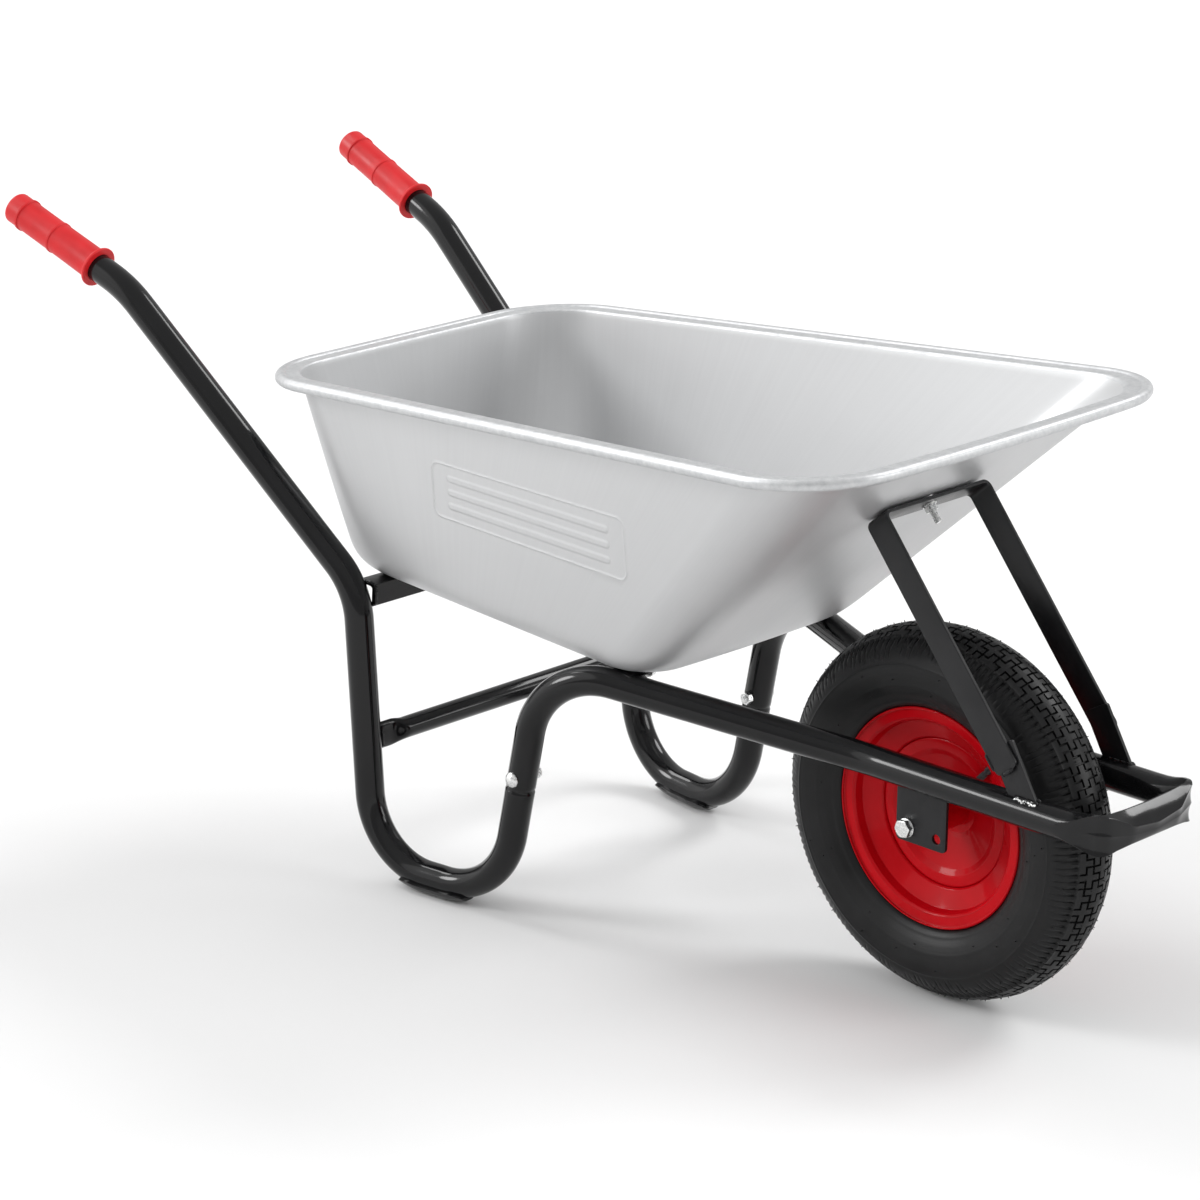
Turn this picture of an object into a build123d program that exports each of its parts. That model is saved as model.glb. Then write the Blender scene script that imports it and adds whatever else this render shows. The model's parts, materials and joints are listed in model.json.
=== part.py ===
from build123d import *
import os
from math import atan2, cos, hypot, pi, radians, sin, sqrt, tan

os.makedirs("parts", exist_ok=True)

# Wheelbarrow with a pressed steel tray, a bent tube frame and one pneumatic wheel.
# Millimetres. +X towards the wheel, +Y to the left of whoever pushes it, +Z up, ground at Z = 0.
# Stations (x) are counted from the axle; AXLE_X puts the origin at mid-length on the ground.
AXLE_X = 458.95
AXLE_Z = 197.0

# Frame tube
TUBE_R = 16.0
TUBE_WALL = 1.5
FOOT_Z = 19.0                # centre of the tube in the foot loop
SHOE_R = 19.6                # outside of the wear shoe, ground flat at Z = 0

# Handle and leg tube, right side: station, distance from the middle plane, height
GRIP_END = (-1176.0, 252.0, 665.5)
GRIP_BEND = (-1002.0, 235.5, 600.0)
KNEE = (-662.3, 203.5, 323.5)
REAR_FOOT = (-635.5, 208.0, FOOT_Z)
FRONT_FOOT = (-457.7, 185.2, FOOT_Z)
JOINT = (-431.0, 183.5, 150.0)
GRIP_BEND_R = 160.0
KNEE_R = 85.0
REAR_FOOT_R = 84.0
FRONT_FOOT_R = 96.0

# Front frame tube
ARCH_UP = 151.5              # from the leg joint, in line with it, to the arch's corner
FORK_BEND = (-52.0, 70.0, 258.5)
FRONT_CORNER = (247.5, 70.0, 258.5)
ARCH_R = 90.0
FORK_BEND_R = 146.0
CRUSH_LENGTH = 48.0          # length of tube that flattens into each front corner
CRUSH_HALF_HEIGHT = 22.0
CRUSH_HALF_DEPTH = 14.0      # along the mitre

# Leg joint: the leg's swaged neck goes up into the front tube
NECK_R = 14.4
NECK_LENGTH = 44.0
NECK_TAPER = 5.0
JOINT_BOLT_UP = 16.0         # from the seam to the cross bolt

# Cross members
ANGLE_LEG = 25.0
ANGLE_T = 3.0
ANGLE_X = -650.0             # front edge, where the angle meets the tray floor
STAY_X = -644.0
STAY_Z = 156.0
STAY_R = 12.0
STAY_WALL = 1.5
STAY_FLAT_HALF_HEIGHT = 15.5
STAY_FLAT_HALF_DEPTH = 4.0
STAY_FLAT_LENGTH = 34.0

# Grips
GRIP_LENGTH = 140.0
GRIP_R = 18.0
GRIP_FLANGE_R = 23.5
GRIP_FLANGE_T = 3.5
GRIP_END_T = 3.0

# Axle brackets
BRACKET_Y = 60.0             # inner face
BRACKET_T = 4.0
BRACKET_REAR = -14.0
BRACKET_FRONT = 50.0
BRACKET_BOTTOM = 182.0
BRACKET_CORNER_R = 5.0
AXLE_HOLE_R = 5.25
SPARE_HOLE = (38.0, 194.5)

# Wheel
TYRE_R = 197.0
TYRE_HALF_WIDTH = 44.6
TYRE_MID_R = 158.0           # where the tyre is widest
TUBE_CENTRE_R = 153.0        # inner tube
TUBE_MINOR_R = 34.5
RIM_T = 1.6
HUB_R = 17.5
HUB_HALF_LENGTH = 45.0
BEARING_R = 13.0
BEARING_BORE_R = 5.05
BEARING_W = 8.0
BALL_R = 2.3
BALL_CIRCLE_R = 9.0
BALL_COUNT = 8
AXLE_R = 4.95
VALVE_ANGLE = 46.5           # above the forward direction
VALVE_Y = -12.0
VALVE_TIP_R = 68.5
VALVE_THREAD_R = 2.8

# Brace over the wheel
BRACE_HALF_WIDTH = 80.0      # outside of the legs
BRACE_T = 4.0
BRACE_W = 30.0
BRACE_BEND_R = 8.0
BRACE_ANGLE = 50.7           # how steeply the legs run down
TAB_T = 4.0

# Tray: rolled edge (bead) centre line at the top, floor outline at the bottom.
# Each outline: rear station, front station, their heights, rear and front half widths,
# rear and front corner radii, and how far the front edge bulges.
BEAD_LINE = (-806.6, 57.2, 536.5, 601.6, 228.0, 282.8, 97.0, 100.0, 13.0)
FLOOR_LINE = (-766.0, -274.0, 334.5, 301.5, 174.0, 166.0, 110.0, 62.0, 5.0)
BEAD_R = 6.4
FLANGE_WIDTH = 18.7
FLANGE_RISE = 4.0            # flange top above the bead's centre
SHEET_T = 1.2
FLOOR_EDGE = 22.0            # how far the floor's rounding reaches in and up
FLOOR_STEPS = 6

# Fasteners
REAR_BOLT_X = ANGLE_X - 14
REAR_BOLT_Y = 110.0
LUG_BOLT_X = -313.0
LUG_BOLT_Y = 112.0
LUG_T = 4.0
LUG_W = 30.0
CARRIAGE_HEAD_R = 9.0
CARRIAGE_HEAD_H = 4.5
M8_R = 4.0
M8_HOLE_R = 4.4
M8_NUT_AF = 13.0
M8_NUT_T = 6.5
M10_AF = 17.0
M10_HEAD_T = 6.4
M10_NUT_T = 8.0
WASHER_R = 10.0
AXLE_WASHER_T = 2.0
WASHER_T = 1.6


def at(x, y, z):
    """Point at station x from the axle."""
    return Vector(AXLE_X + x, y, z)


def right(point):
    """A (station, distance out, height) triple on the right side."""
    return at(point[0], -point[1], point[2])


def between(a, b, distance):
    """Point a given distance from a towards b."""
    return a + (b - a).normalized() * distance


def left(shape):
    return mirror(shape, about=Plane.XZ)


def swept(path, radius):
    section = Plane(origin=path @ 0, z_dir=path % 0) * Circle(radius)
    return sweep(section, path=path)


def rod(start, end, radius):
    axis = end - start
    plane = Plane(origin=start, z_dir=axis.normalized())
    return extrude(plane * Circle(radius), axis.length)


def hexagon(start, direction, across_flats, height):
    plane = Plane(origin=start, z_dir=direction)
    return extrude(plane * RegularPolygon(across_flats / 2, 6, major_radius=False), height)


def ring(start, direction, outer, inner, height):
    plane = Plane(origin=start, z_dir=direction)
    return extrude(plane * (Circle(outer) - Circle(inner)), height)


def dome_head(start, direction, radius, height):
    """Low round head of a carriage bolt, standing on start."""
    sphere_r = (radius ** 2 + height ** 2) / (2 * height)
    centre = start + direction * (height - sphere_r)
    ball = Pos(*centre) * Sphere(sphere_r)
    return ball & rod(start, start + direction * (height + 1), radius + 1)


def spun(points):
    """Closed (y, r) outline turned about the axle."""
    line = Polyline(*[at(0, y, AXLE_Z + r) for y, r in points], close=True)
    return revolve(make_face(line), axis=AXLE, revolution_arc=360)


def strip(points, thickness):
    """Outline of a sheet that follows (y, r) points at its mid-line."""
    sides = ([], [])
    for i, (y, r) in enumerate(points):
        before = points[max(i - 1, 0)]
        after = points[min(i + 1, len(points) - 1)]
        a = (y - before[0], r - before[1]) if i > 0 else (after[0] - y, after[1] - r)
        b = (after[0] - y, after[1] - r) if i < len(points) - 1 else a
        na = (-a[1] / hypot(*a), a[0] / hypot(*a))
        nb = (-b[1] / hypot(*b), b[0] / hypot(*b))
        n = (na[0] + nb[0], na[1] + nb[1])
        scale = thickness / (1 + na[0] * nb[0] + na[1] * nb[1]) / 2
        sides[0].append((y + n[0] * scale, r + n[1] * scale))
        sides[1].append((y - n[0] * scale, r - n[1] * scale))
    return sides[0] + sides[1][::-1]


AXLE = Axis((AXLE_X, 0, AXLE_Z), (0, 1, 0))
OUTWARD = Vector(0, -1, 0)                      # on the right side


# ---- tray floor and bolt places ----------------------------------------------------------

FLOOR_SLOPE = (FLOOR_LINE[3] - FLOOR_LINE[2]) / (FLOOR_LINE[1] - FLOOR_LINE[0])


def floor_plane(x, y):
    """Plane on the underside of the tray floor, its normal pointing into the tray."""
    z = FLOOR_LINE[2] + FLOOR_SLOPE * (x - FLOOR_LINE[0])
    return Plane(origin=at(x, y, z), x_dir=(1, 0, FLOOR_SLOPE), z_dir=(-FLOOR_SLOPE, 0, 1))


def front_wall():
    """A point on the outside of the front wall at mid-width, and the wall's outward normal."""
    low = at(FLOOR_LINE[1] + FLOOR_LINE[8], 0, FLOOR_LINE[3])
    slope = (BEAD_LINE[3] - BEAD_LINE[2]) / (BEAD_LINE[1] - BEAD_LINE[0])
    x = BEAD_LINE[1] - FLANGE_WIDTH
    high = at(x + BEAD_LINE[8], 0, BEAD_LINE[3] + FLANGE_RISE - FLANGE_WIDTH * slope)
    rise = (high - low).normalized()
    return low, Vector(rise.Z, 0, -rise.X)


def brace_length():
    """Leg length at which the cross bar's lower edge just meets the front wall."""
    low, normal = front_wall()
    edge = BRACE_FOOT - Vector(-BRACE_DIR.Z, 0, BRACE_DIR.X) * (BRACE_W / 2)
    return normal.dot(edge - low) / normal.dot(BRACE_DIR)


BRACE_FOOT = at(137, 0, 298)
BRACE_DIR = Vector(cos(radians(BRACE_ANGLE)), 0, -sin(radians(BRACE_ANGLE)))
BRACE_LENGTH = brace_length()
BRACE_HEAD = BRACE_FOOT - BRACE_DIR * BRACE_LENGTH


def tray_bolt_planes():
    """Where the tray bolts pass the outside of the sheet; the normals point into the tray."""
    planes = [floor_plane(REAR_BOLT_X, s * REAR_BOLT_Y) for s in (-1, 1)]
    planes += [floor_plane(LUG_BOLT_X, s * LUG_BOLT_Y) for s in (-1, 1)]
    planes.append(Plane(origin=BRACE_HEAD, z_dir=BRACE_DIR * -1))
    return planes


# ---- frame tubes -------------------------------------------------------------------------

SEAM = right(JOINT)
NECK_DIR = (right(JOINT) - right(FRONT_FOOT)).normalized()
ARCH = SEAM + NECK_DIR * ARCH_UP
BOLT_POINT = SEAM + NECK_DIR * JOINT_BOLT_UP
GRIP_TIP = right(GRIP_END)
GRIP_DIR = (right(GRIP_BEND) - GRIP_TIP).normalized()


JOINT_OUT = (OUTWARD - NECK_DIR * NECK_DIR.dot(OUTWARD)).normalized()


def joint_hole():
    return rod(BOLT_POINT - JOINT_OUT * 30, BOLT_POINT + JOINT_OUT * 30, M8_HOLE_R)


def handle_leg_tube():
    start = GRIP_TIP + GRIP_DIR * GRIP_END_T
    corners = [start, right(GRIP_BEND), right(KNEE), right(REAR_FOOT), right(FRONT_FOOT), SEAM]
    path = FilletPolyline(*corners, radius=[GRIP_BEND_R, KNEE_R, REAR_FOOT_R, FRONT_FOOT_R])
    taper_end = SEAM + NECK_DIR * NECK_TAPER
    neck_end = SEAM + NECK_DIR * NECK_LENGTH
    taper = loft([Plane(origin=SEAM, z_dir=NECK_DIR) * Circle(TUBE_R),
                  Plane(origin=taper_end, z_dir=NECK_DIR) * Circle(NECK_R)])
    outside = swept(path, TUBE_R) + taper + rod(taper_end, neck_end, NECK_R)
    bore = swept(path, TUBE_R - TUBE_WALL)
    neck_bore = rod(SEAM - NECK_DIR * 1, neck_end + NECK_DIR, NECK_R - TUBE_WALL)
    return outside - bore - neck_bore - joint_hole()


def corner_section(shrink):
    """Flattened section in the mitre plane of a front corner."""
    corner = right(FRONT_CORNER)
    mitre = Plane(origin=corner, x_dir=(1, -1, 0), z_dir=(1, 1, 0))
    return mitre * Ellipse(CRUSH_HALF_DEPTH * sqrt(2) - shrink * sqrt(2), CRUSH_HALF_HEIGHT - shrink)


def front_half(radius, shrink):
    """Right half of the front tube, from the leg joint to the middle of the cross bar."""
    start = SEAM + NECK_DIR * (NECK_TAPER + 0.6)
    crush_start = right((FRONT_CORNER[0] - CRUSH_LENGTH, FRONT_CORNER[1], FRONT_CORNER[2]))
    path = FilletPolyline(start, ARCH, right(FORK_BEND), crush_start,
                          radius=[ARCH_R, FORK_BEND_R])
    bar_start = at(FRONT_CORNER[0], -FRONT_CORNER[1] + CRUSH_LENGTH, FRONT_CORNER[2])
    bar_mid = at(FRONT_CORNER[0], 0, FRONT_CORNER[2])
    along = loft([Plane(origin=crush_start, x_dir=(0, -1, 0), z_dir=(1, 0, 0)) * Circle(radius),
                  corner_section(shrink)], ruled=True)
    across = loft([corner_section(shrink),
                   Plane(origin=bar_start, x_dir=(1, 0, 0), z_dir=(0, 1, 0)) * Circle(radius)],
                  ruled=True)
    return swept(path, radius) + along + across + rod(bar_start, bar_mid, radius)


def front_frame_tube():
    outside = front_half(TUBE_R, 0)
    inside = front_half(TUBE_R - TUBE_WALL, TUBE_WALL)
    half = outside - inside - joint_hole()
    return half + left(half)


def solid_leg_path():
    corners = [right(KNEE), right(REAR_FOOT), right(FRONT_FOOT), SEAM]
    return FilletPolyline(*corners, radius=[REAR_FOOT_R, FRONT_FOOT_R])


def foot_shoe():
    """Wear shoe wrapped under the foot loop and ground flat where it stands."""
    path = solid_leg_path()
    shell = swept(path, SHOE_R) - swept(path, TUBE_R)
    mid = (right(REAR_FOOT) + right(FRONT_FOOT)) * 0.5
    reach = Pos(mid.X, mid.Y, 5.5) * Box(84, 60, 11)
    return shell & reach


def solid_tubes():
    """Filled tubes, to cut what is welded to them."""
    rear = FilletPolyline(right(GRIP_BEND), right(KNEE), right(REAR_FOOT), radius=[KNEE_R])
    return swept(rear, TUBE_R)


def upper_cross_member():
    """Angle section between the knees, its flat leg against the tray floor."""
    half = abs(KNEE[1])
    upright = Pos(-ANGLE_T / 2, 0, -ANGLE_LEG / 2) * Box(ANGLE_T, 2 * half, ANGLE_LEG)
    flat = Pos(-ANGLE_LEG / 2, 0, -ANGLE_T / 2) * Box(ANGLE_LEG, 2 * half, ANGLE_T)
    bar = floor_plane(ANGLE_X, 0) * (upright + flat)
    tubes = solid_tubes()
    bar = bar - tubes - left(tubes)
    bar = max(bar.solids(), key=lambda s: s.volume)
    for y in (-REAR_BOLT_Y, REAR_BOLT_Y):
        bar = bar - floor_plane(REAR_BOLT_X, y) * Cylinder(M8_HOLE_R, 20)
    return bar


def lower_cross_tube():
    """Stay between the rear legs, its ends flattened upright."""
    reach = 206.0
    flat_end = 190.0
    round_end = flat_end - STAY_FLAT_LENGTH

    def half(radius, high, deep):
        facing = dict(x_dir=(1, 0, 0), z_dir=(0, -1, 0))
        middle = Plane(origin=at(STAY_X, 0, STAY_Z), **facing)
        round_plane = Plane(origin=at(STAY_X, -round_end, STAY_Z), **facing)
        flat_plane = Plane(origin=at(STAY_X, -flat_end + 12, STAY_Z), **facing)
        straight = extrude(middle * Circle(radius), round_end)
        crush = loft([round_plane * Circle(radius), flat_plane * Ellipse(deep, high)], ruled=True)
        tongue = extrude(flat_plane * Ellipse(deep, high), reach - flat_end + 12)
        return straight + crush + tongue

    outside = half(STAY_R, STAY_FLAT_HALF_HEIGHT, STAY_FLAT_HALF_DEPTH)
    hollow = half(STAY_R - STAY_WALL, STAY_FLAT_HALF_HEIGHT - 2, STAY_FLAT_HALF_DEPTH - STAY_WALL)
    piece = outside - hollow
    leg = solid_tubes() + swept(solid_leg_path(), TUBE_R)
    piece = piece - leg
    piece = max(piece.solids(), key=lambda s: s.volume)
    return piece + left(piece)


# ---- wheel carrier and brace -------------------------------------------------------------

def fork_tube(radius):
    start = right(FORK_BEND)
    end = right((FRONT_CORNER[0] - CRUSH_LENGTH, FRONT_CORNER[1], FRONT_CORNER[2]))
    path = FilletPolyline(ARCH, start, end, radius=[FORK_BEND_R])
    return swept(path, radius)


def axle_bracket():
    top = FRONT_CORNER[2]
    height = top - BRACKET_BOTTOM
    width = BRACKET_FRONT - BRACKET_REAR
    plate = Pos(AXLE_X + BRACKET_REAR + width / 2, -BRACKET_Y - BRACKET_T / 2,
                BRACKET_BOTTOM + height / 2) * Box(width, BRACKET_T, height)
    lower = plate.edges().filter_by(Axis.Y).sort_by(Axis.Z)[:2]
    plate = fillet(lower, BRACKET_CORNER_R)
    for x, z in ((0, AXLE_Z), SPARE_HOLE):
        plate = plate - rod(at(x, -BRACKET_Y + 5, z), at(x, -BRACKET_Y - 10, z), AXLE_HOLE_R)
    plate = plate - fork_tube(TUBE_R)
    return min(plate.solids(), key=lambda s: s.center().Z)


def brace_plane():
    """Plane that holds the staple: x across the barrow, y down the legs."""
    return Plane(origin=BRACE_HEAD, x_dir=(0, 1, 0), z_dir=Vector(0, 1, 0).cross(BRACE_DIR))


def brace_strap():
    """Flat bar bent into a staple, its rounded ends welded outside the tabs."""
    line = FilletPolyline((-BRACE_HALF_WIDTH, BRACE_LENGTH), (-BRACE_HALF_WIDTH, 0),
                          (BRACE_HALF_WIDTH, 0), (BRACE_HALF_WIDTH, BRACE_LENGTH),
                          radius=BRACE_BEND_R)
    inner = FilletPolyline((-BRACE_HALF_WIDTH + BRACE_T, BRACE_LENGTH),
                           (-BRACE_HALF_WIDTH + BRACE_T, BRACE_T),
                           (BRACE_HALF_WIDTH - BRACE_T, BRACE_T),
                           (BRACE_HALF_WIDTH - BRACE_T, BRACE_LENGTH),
                           radius=BRACE_BEND_R - BRACE_T)
    ends = [Line(line @ 0, inner @ 0), Line(line @ 1, inner @ 1)]
    face = make_face(line.edges() + inner.edges() + [e.edge() for e in ends])
    staple = extrude(brace_plane() * face, BRACE_W / 2, both=True)
    corners = staple.edges().filter_by(Axis.Y).sort_by(Axis.Z)[:4]
    staple = fillet(corners, 6)
    return staple - rod(BRACE_HEAD - BRACE_DIR * 10, BRACE_HEAD + BRACE_DIR * 20, M8_HOLE_R)


def brace_tab():
    """Leaning plate on the tube that carries the brace's lower end."""
    y = -BRACE_HALF_WIDTH + BRACE_T
    corners = [(142, 262), (177, 262), (137, 330), (111.5, 315)]
    points = [at(x, y, z) for x, z in corners]
    tab = extrude(make_face(Polyline(*points, close=True)), TAB_T, dir=(0, 1, 0))
    tab = tab - fork_tube(TUBE_R)
    return max(tab.solids(), key=lambda s: s.center().Z)


# ---- tray --------------------------------------------------------------------------------

def inset(line, out, up=0.0):
    """Outline moved outwards in its own plane by out, and lifted by up."""
    rear, front, z_rear, z_front, w_rear, w_front, r_rear, r_front, bulge = line
    slope = (z_front - z_rear) / (front - rear)
    return (rear - out, front + out, z_rear - out * slope + up, z_front + out * slope + up,
            w_rear + out, w_front + out, max(r_rear + out, 4), max(r_front + out, 4), bulge)


def blend(a, b, t):
    return tuple(p + (q - p) * t for p, q in zip(a, b))


def outline(line):
    """Face bounded by a rounded outline, in its own leaning plane."""
    rear, front, z_rear, z_front, w_rear, w_front, r_rear, r_front, bulge = line
    slope = (z_front - z_rear) / (front - rear)
    stretch = sqrt(1 + slope ** 2)
    length = (front - rear) * stretch
    plane = Plane(origin=at(rear, 0, z_rear), x_dir=(1, 0, slope), z_dir=(-slope, 0, 1))
    a, b = Vector(0, -w_rear), Vector(length, -w_front)
    c, d = Vector(length, w_front), Vector(0, w_rear)
    sides = [Line(a, b), ThreePointArc(b, Vector(length + bulge, 0), c), Line(c, d), Line(d, a)]
    face = make_face(sides)
    rear_corners = face.vertices().sort_by(Axis.X)[:2]
    face = fillet(rear_corners, r_rear)
    front_corners = [v for v in face.vertices() if v.X > length - 0.01]
    face = fillet(front_corners, r_front)
    return plane * face


BEAD_TOP = inset(BEAD_LINE, 0, FLANGE_RISE)
CREASE = inset(BEAD_TOP, -FLANGE_WIDTH)


def tray_sections(skin):
    """Outlines from floor to crease; skin moves them inwards by the sheet's thickness."""
    floor = inset(FLOOR_LINE, -skin, skin)
    top = inset(CREASE, -skin)
    low = inset(floor, -FLOOR_EDGE)
    wall = blend(floor, top, FLOOR_EDGE / (CREASE[2] - FLOOR_LINE[2]))
    sections = []
    for i in range(FLOOR_STEPS + 1):
        t = i / FLOOR_STEPS
        sections.append(blend(blend(low, floor, t), blend(floor, wall, t), t))
    sections.append(blend(wall, top, 1.03 if skin else 1.0))
    return sections


def rolled_edge():
    """Edge of the sheet curled into an open tube round the flange."""
    path = outline(BEAD_LINE).face().outer_wire()
    start = path @ 0
    inward = (at(BEAD_LINE[0] / 2, 0, BEAD_LINE[2]) - start).normalized()
    along = path % 0
    inward = (inward - along * inward.dot(along)).normalized()
    section_plane = Plane(origin=start, x_dir=inward, z_dir=along)
    gap = Polyline((0, 0), (2 * BEAD_R, BEAD_R / 5), (2 * BEAD_R, -BEAD_R), close=True)
    section = Circle(BEAD_R) - Circle(BEAD_R - SHEET_T) - make_face(gap)
    return sweep(section_plane * section, path=path)


def tray():
    outside = loft([outline(s) for s in tray_sections(0)], ruled=True)
    inside = loft([outline(s) for s in tray_sections(SHEET_T)], ruled=True)
    flange_face = outline(BEAD_TOP)
    slope = (BEAD_LINE[3] - BEAD_LINE[2]) / (BEAD_LINE[1] - BEAD_LINE[0])
    down = Vector(slope, 0, -1).normalized()
    flange = extrude(flange_face, SHEET_T, dir=down)
    body = outside + flange - inside + rolled_edge()
    for plane in tray_bolt_planes():
        body = body - plane * Cylinder(M8_HOLE_R, 24)
    return body


def tray_lug():
    """Flat lug from the front tube to under the tray floor."""
    reach = Box(LUG_W, 60, LUG_T, align=(Align.CENTER, Align.MIN, Align.MAX))
    lug = floor_plane(LUG_BOLT_X, -LUG_BOLT_Y - 44) * reach
    hole = floor_plane(LUG_BOLT_X, -LUG_BOLT_Y) * Cylinder(M8_HOLE_R, 20)
    lug = lug - fork_tube(TUBE_R) - hole
    return max(lug.solids(), key=lambda s: s.center().Y)


# ---- grips -------------------------------------------------------------------------------

def grip():
    """Closed grip pushed over the tube end, with a flange and moulded rings."""
    profile = [(0, 0), (0, GRIP_R - 3), (3, GRIP_R), (18, GRIP_R), (19, GRIP_R + 1.2),
               (21, GRIP_R + 1.2), (22, GRIP_R), (70, GRIP_R), (71, GRIP_R + 0.8),
               (73, GRIP_R + 0.8), (74, GRIP_R),
               (GRIP_LENGTH - GRIP_FLANGE_T - 2, GRIP_R + 0.6),
               (GRIP_LENGTH - GRIP_FLANGE_T, GRIP_FLANGE_R - 1),
               (GRIP_LENGTH - GRIP_FLANGE_T + 1, GRIP_FLANGE_R),
               (GRIP_LENGTH - 1, GRIP_FLANGE_R), (GRIP_LENGTH, GRIP_FLANGE_R - 1),
               (GRIP_LENGTH, TUBE_R), (GRIP_END_T, TUBE_R), (GRIP_END_T, 0)]
    line = Polyline(*[(d, 0, r) for d, r in profile], close=True)
    body = revolve(make_face(line), axis=Axis.X, revolution_arc=360)
    return Plane(origin=GRIP_TIP, x_dir=GRIP_DIR, z_dir=GRIP_DIR.cross(Vector(0, 1, 0))) * body


# ---- wheel -------------------------------------------------------------------------------

RIM_LINE = [(-31.0, 114.4), (-30.2, 115.4), (-28.6, 115.0), (-27.6, 112.6), (-27.2, 103.6),
            (-25.6, 101.7), (-17.2, 99.6), (-8.8, 80.6), (-7.4, 79.4), (7.4, 79.4), (8.8, 80.6),
            (17.2, 99.6), (25.6, 101.7), (27.2, 103.6), (27.6, 112.6), (28.6, 115.0),
            (30.2, 115.4), (31.0, 114.4)]
WELL_R = 79.4 - RIM_T / 2
DISC_T = 2.5


def valve_plane(r):
    """Plane across the valve stem at a radius from the axle, its normal outwards."""
    a = radians(VALVE_ANGLE)
    return Plane(origin=at(r * cos(a), VALVE_Y, AXLE_Z + r * sin(a)), z_dir=(cos(a), 0, sin(a)))


def valve_bore(radius):
    return extrude(valve_plane(TUBE_CENTRE_R - TUBE_MINOR_R - 60) * Circle(radius), 60)


def rim_barrel():
    return spun(strip(RIM_LINE, RIM_T)) - valve_bore(4.3)


def wheel_disc():
    """Dished disc, its collar inside the well of the rim and its middle on the hub."""
    r = WELL_R - DISC_T / 2
    line = [(5.5, r), (-4.4, r), (-5.9, r - 1.6), (-6.0, 67), (-5.2, 65.4), (2.0, 50),
            (3.2, 46), (3.2, 43), (4.4, 39), (11.0, 28), (12.2, 24.5), (12.2, HUB_R)]
    return spun(strip(line, DISC_T))


def hub_tube():
    half = HUB_HALF_LENGTH
    seat = half - BEARING_W - 0.5
    return spun([(-half, HUB_R), (half, HUB_R), (half, BEARING_R), (seat, BEARING_R),
                 (seat, BEARING_R - 1.5), (-seat, BEARING_R - 1.5), (-seat, BEARING_R),
                 (-half, BEARING_R)])


def bearing_parts():
    """Outer rings, balls and inner rings of both bearings."""
    outer, inner, balls = [], [], []
    for s in (-1, 1):
        y = s * (HUB_HALF_LENGTH - 0.5 - BEARING_W / 2)
        centre = at(0, y, AXLE_Z)
        start = centre - Vector(0, BEARING_W / 2, 0)
        facing = Vector(0, 1, 0)
        groove = Plane(origin=centre, z_dir=facing) * Torus(BALL_CIRCLE_R, BALL_R)
        outer.append(ring(start, facing, BEARING_R, BALL_CIRCLE_R + 1.8, BEARING_W) - groove)
        inner.append(ring(start, facing, BALL_CIRCLE_R - BALL_R - 0.35, BEARING_BORE_R, BEARING_W))
        for i in range(BALL_COUNT):
            a = 2 * pi * i / BALL_COUNT
            spot = at(BALL_CIRCLE_R * cos(a), y, AXLE_Z + BALL_CIRCLE_R * sin(a))
            balls.append(Pos(*spot) * Sphere(BALL_R))
    return Compound(outer), Compound(balls), Compound(inner)


def tyre():
    """Smooth casing with beads on the rim; its cavity holds the inner tube."""
    rounding = 2 / 1.83
    shoulder = []
    for i in range(1, 9):
        a = radians(90) * i / 9
        shoulder.append((TYRE_HALF_WIDTH * cos(a) ** rounding,
                         TYRE_MID_R + (TYRE_R - TYRE_MID_R) * sin(a) ** rounding))
    side = [(30.6, 118.0), (36.5, 126.0), (41.5, 137.0), (43.8, 148.0),
            (TYRE_HALF_WIDTH, TYRE_MID_R)] + shoulder
    points = [(-y, r) for y, r in side] + [(0, TYRE_R)] + side[::-1]
    outer = Spline(*[at(0, y, AXLE_Z + r) for y, r in points])
    bead = [(30.6, 118.0), (28.6, 116.4), (27.6, 112.6), (27.2, 103.6), (25.6, 101.7),
            (17.6, 99.7), (17.6, 106.0), (20.5, 112.0), (20.5, TUBE_CENTRE_R)]
    foot = Polyline(*[at(0, y, AXLE_Z + r) for y, r in bead])
    across = Line(at(0, 20.5, AXLE_Z + TUBE_CENTRE_R), at(0, -20.5, AXLE_Z + TUBE_CENTRE_R))
    other = Polyline(*[at(0, -y, AXLE_Z + r) for y, r in bead[::-1]])
    face = make_face([outer] + foot.edges() + [across] + other.edges())
    casing = revolve(face, axis=AXLE, revolution_arc=360)
    return casing - tube_torus(TUBE_MINOR_R) - spun(strip(RIM_LINE, RIM_T))


def tube_torus(minor):
    return Plane(origin=at(0, 0, AXLE_Z), z_dir=(0, 1, 0)) * Torus(TUBE_CENTRE_R, minor)


def inner_tube():
    return tube_torus(TUBE_MINOR_R) - tube_torus(TUBE_MINOR_R - 2)


def valve_stem():
    def length(r_from, r_to, radius):
        return extrude(valve_plane(r_from) * Circle(radius), r_to - r_from)

    stem = length(VALVE_TIP_R + 15, TUBE_CENTRE_R - 20, 4.2)
    stem = stem + length(VALVE_TIP_R + 6, VALVE_TIP_R + 16, VALVE_THREAD_R)
    return stem - tube_torus(TUBE_MINOR_R)


def valve_cap():
    cap = extrude(valve_plane(VALVE_TIP_R) * Circle(3.9), 12)
    return cap - extrude(valve_plane(VALVE_TIP_R + 6) * Circle(VALVE_THREAD_R), 10)


# ---- fasteners ---------------------------------------------------------------------------

def joint_bolt():
    seat = BOLT_POINT + JOINT_OUT * TUBE_R
    return dome_head(seat, JOINT_OUT, 8.5, 4.5) + rod(seat, BOLT_POINT - JOINT_OUT * 26, M8_R)


def joint_nut():
    nut = hexagon(BOLT_POINT - JOINT_OUT * TUBE_R, JOINT_OUT * -1, M8_NUT_AF, M8_NUT_T)
    return nut - rod(BOLT_POINT, BOLT_POINT - JOINT_OUT * 40, M8_R)


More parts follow.
